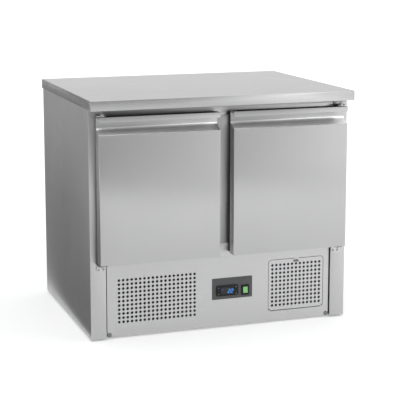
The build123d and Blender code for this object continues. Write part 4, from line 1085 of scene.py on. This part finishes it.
makeControls()
makeLens()
makeCaps()
makeScrews()
makeShelf("shelf_left")
makeShelf("shelf_right")
makeCoil("condenser_coil", 0.0004, 0.0036, 8)
makeCoil("evaporator_coil", 0.0003, 0.0045, 6)
makeGuard()
makeCompressor()
makePipes()
for corner in ("front_left", "front_right", "rear_left", "rear_right"):
    makeFoot(f"foot_{corner}")
makeLouvres()
makeSeal("left")
makeSeal("right")
print("detailed pieces done")


# Camera, lamps, floor and the pale surroundings that the steel shows
def makeCamera():
    size = {
        "place": (-1.431, -4.172, 1.274), "yaw": 19.293, "pitch": 9.68, "lens": 115.54, "shift": -0.1,
        "reach": 60,
    }
    data = bpy.data.cameras.new("camera")
    data.lens, data.shift_y, data.clip_end = size["lens"], size["shift"], size["reach"]
    camera = holderOf(data)
    camera.location = size["place"]
    camera.rotation_euler = (math.radians(90 - size["pitch"]), 0, math.radians(-size["yaw"]))
    scene.camera = camera


def addLamp(name, place, size, power, aim=Vector((0, 0, 0.4))):
    lamp = bpy.data.lights.new(name, "AREA")
    lamp.shape = "RECTANGLE"
    lamp.size, lamp.size_y = size
    lamp.energy = power
    holder = holderOf(lamp)
    holder.location = place
    holder.rotation_euler = (aim - Vector(place)).to_track_quat("-Z", "Y").to_euler()


# White wherever the camera, a reflection or a clear part looks at it, and a plain level of light otherwise
def seenDirectly(tree):
    rays = addNode(tree, "ShaderNodeLightPath").outputs
    seen = rays["Is Camera Ray"]
    for kind in ("Is Glossy Ray", "Is Transmission Ray"):
        seen = firstOut(tree, "ShaderNodeMath", {0: seen, 1: rays[kind]}, operation="ADD", use_clamp=True)
    return seen


def makeWorld(fill):
    world = bpy.data.worlds.new("studio")
    scene.world = world
    tree = clearedTree(world)
    white = firstOut(tree, "ShaderNodeBackground", {"Color": (1, 1, 1, 1), "Strength": 1.0})
    soft = firstOut(tree, "ShaderNodeBackground", {"Color": (0.97, 0.98, 1, 1), "Strength": fill})
    mix = firstOut(tree, "ShaderNodeMixShader", {0: seenDirectly(tree), 1: soft, 2: white})
    addNode(tree, "ShaderNodeOutputWorld", {"Surface": mix})


def lying(x, y, z):
    return [(x[0], y[0], z), (x[1], y[0], z), (x[1], y[1], z), (x[0], y[1], z)]


def standing(x, y, z):
    return [(x[0], y[0], z[0]), (x[1], y[1], z[0]), (x[1], y[1], z[1]), (x[0], y[0], z[1])]


def stagedPlane(name, corners, material):
    mesh = bpy.data.meshes.new(name)
    mesh.from_pydata(corners, [], [(0, 1, 2, 3)])
    mesh.materials.append(material)
    plane = holderOf(mesh)
    return plane


# The floor's own white rises away from the lamps, and leaves the shadow under the object
def makeFloor(near, far):
    size = {"reach": 30, "start": 0.8, "end": 5.0}
    tree, shader = startMaterial("floorPaint", 0.9, Emission_Color=(1, 1, 1, 1))
    away = addNode(tree, "ShaderNodeVectorMath", {0: objectPlace(tree)}, operation="LENGTH").outputs["Value"]
    values = {0: seenDirectly(tree), 1: spread(tree, away, near, far, size["start"], size["end"])}
    level = firstOut(tree, "ShaderNodeMath", values, operation="MULTIPLY")
    feed(tree, shader, {"Base Color": (0.92, 0.92, 0.92, 1), "Emission Strength": level})
    span = (-size["reach"], size["reach"])
    stagedPlane("floor", lying(span, span, 0), finishes["floorPaint"])


# Grey and bright cards that only the steel sees, as a photographer's flags and reflectors
def makeCard(name, corners, low, high, axis="Z"):
    material = bpy.data.materials.new(name)
    tree = clearedTree(material)
    axes = addNode(tree, "ShaderNodeSeparateXYZ", {0: objectPlace(tree)})
    along = [corner["XYZ".index(axis)] for corner in corners]
    level = spread(tree, axes.outputs[axis], low, high, min(along), max(along))
    glow = firstOut(tree, "ShaderNodeEmission", {"Color": (1, 1, 1, 1), "Strength": level})
    addNode(tree, "ShaderNodeOutputMaterial", {"Surface": glow})
    card = stagedPlane(name, corners, material)
    card.visible_camera = card.visible_diffuse = card.visible_shadow = card.visible_transmission = False


makeCamera()
makeWorld(0.5)
makeFloor(0.32, 0.75)
addLamp("keySoftbox", (-2.6, -3.4, 3.6), (4.4, 3.4), 62)
addLamp("sideSoftbox", (3.6, -2.2, 2.8), (3.4, 3.4), 46)
addLamp("topSoftbox", (0, 0.6, 4.2), (4.4, 3.4), 46)
makeCard("darkWall", standing((-5.0, 2.4), (-6, -6), (0.0, 5.0)), -0.4, 1.0, "X")
makeCard("darkFloorEnd", lying((-2.5, 2.2), (-6.0, -2.3), 0.004), 0.34, 0.95, "X")
makeCard("brightWall", standing((2.4, 6.0), (-6, -5.2), (0.0, 4.0)), 1.2, 2.4, "X")
makeCard("sideFlag", standing((-2.6, -0.5), (1.8, 1.8), (0.0, 1.6)), 0.25, 0.7)
makeCard("sideFloorFlag", lying((-2.6, -0.48), (-0.2, 1.8), 0.004), 0.24, 0.28, "Y")
makeCard("sideFloorFade", lying((-2.6, -0.48), (-1.6, -0.2), 0.004), 0.8, 0.24, "Y")
scene.view_settings.view_transform = "Standard"
print("camera and lights placed")
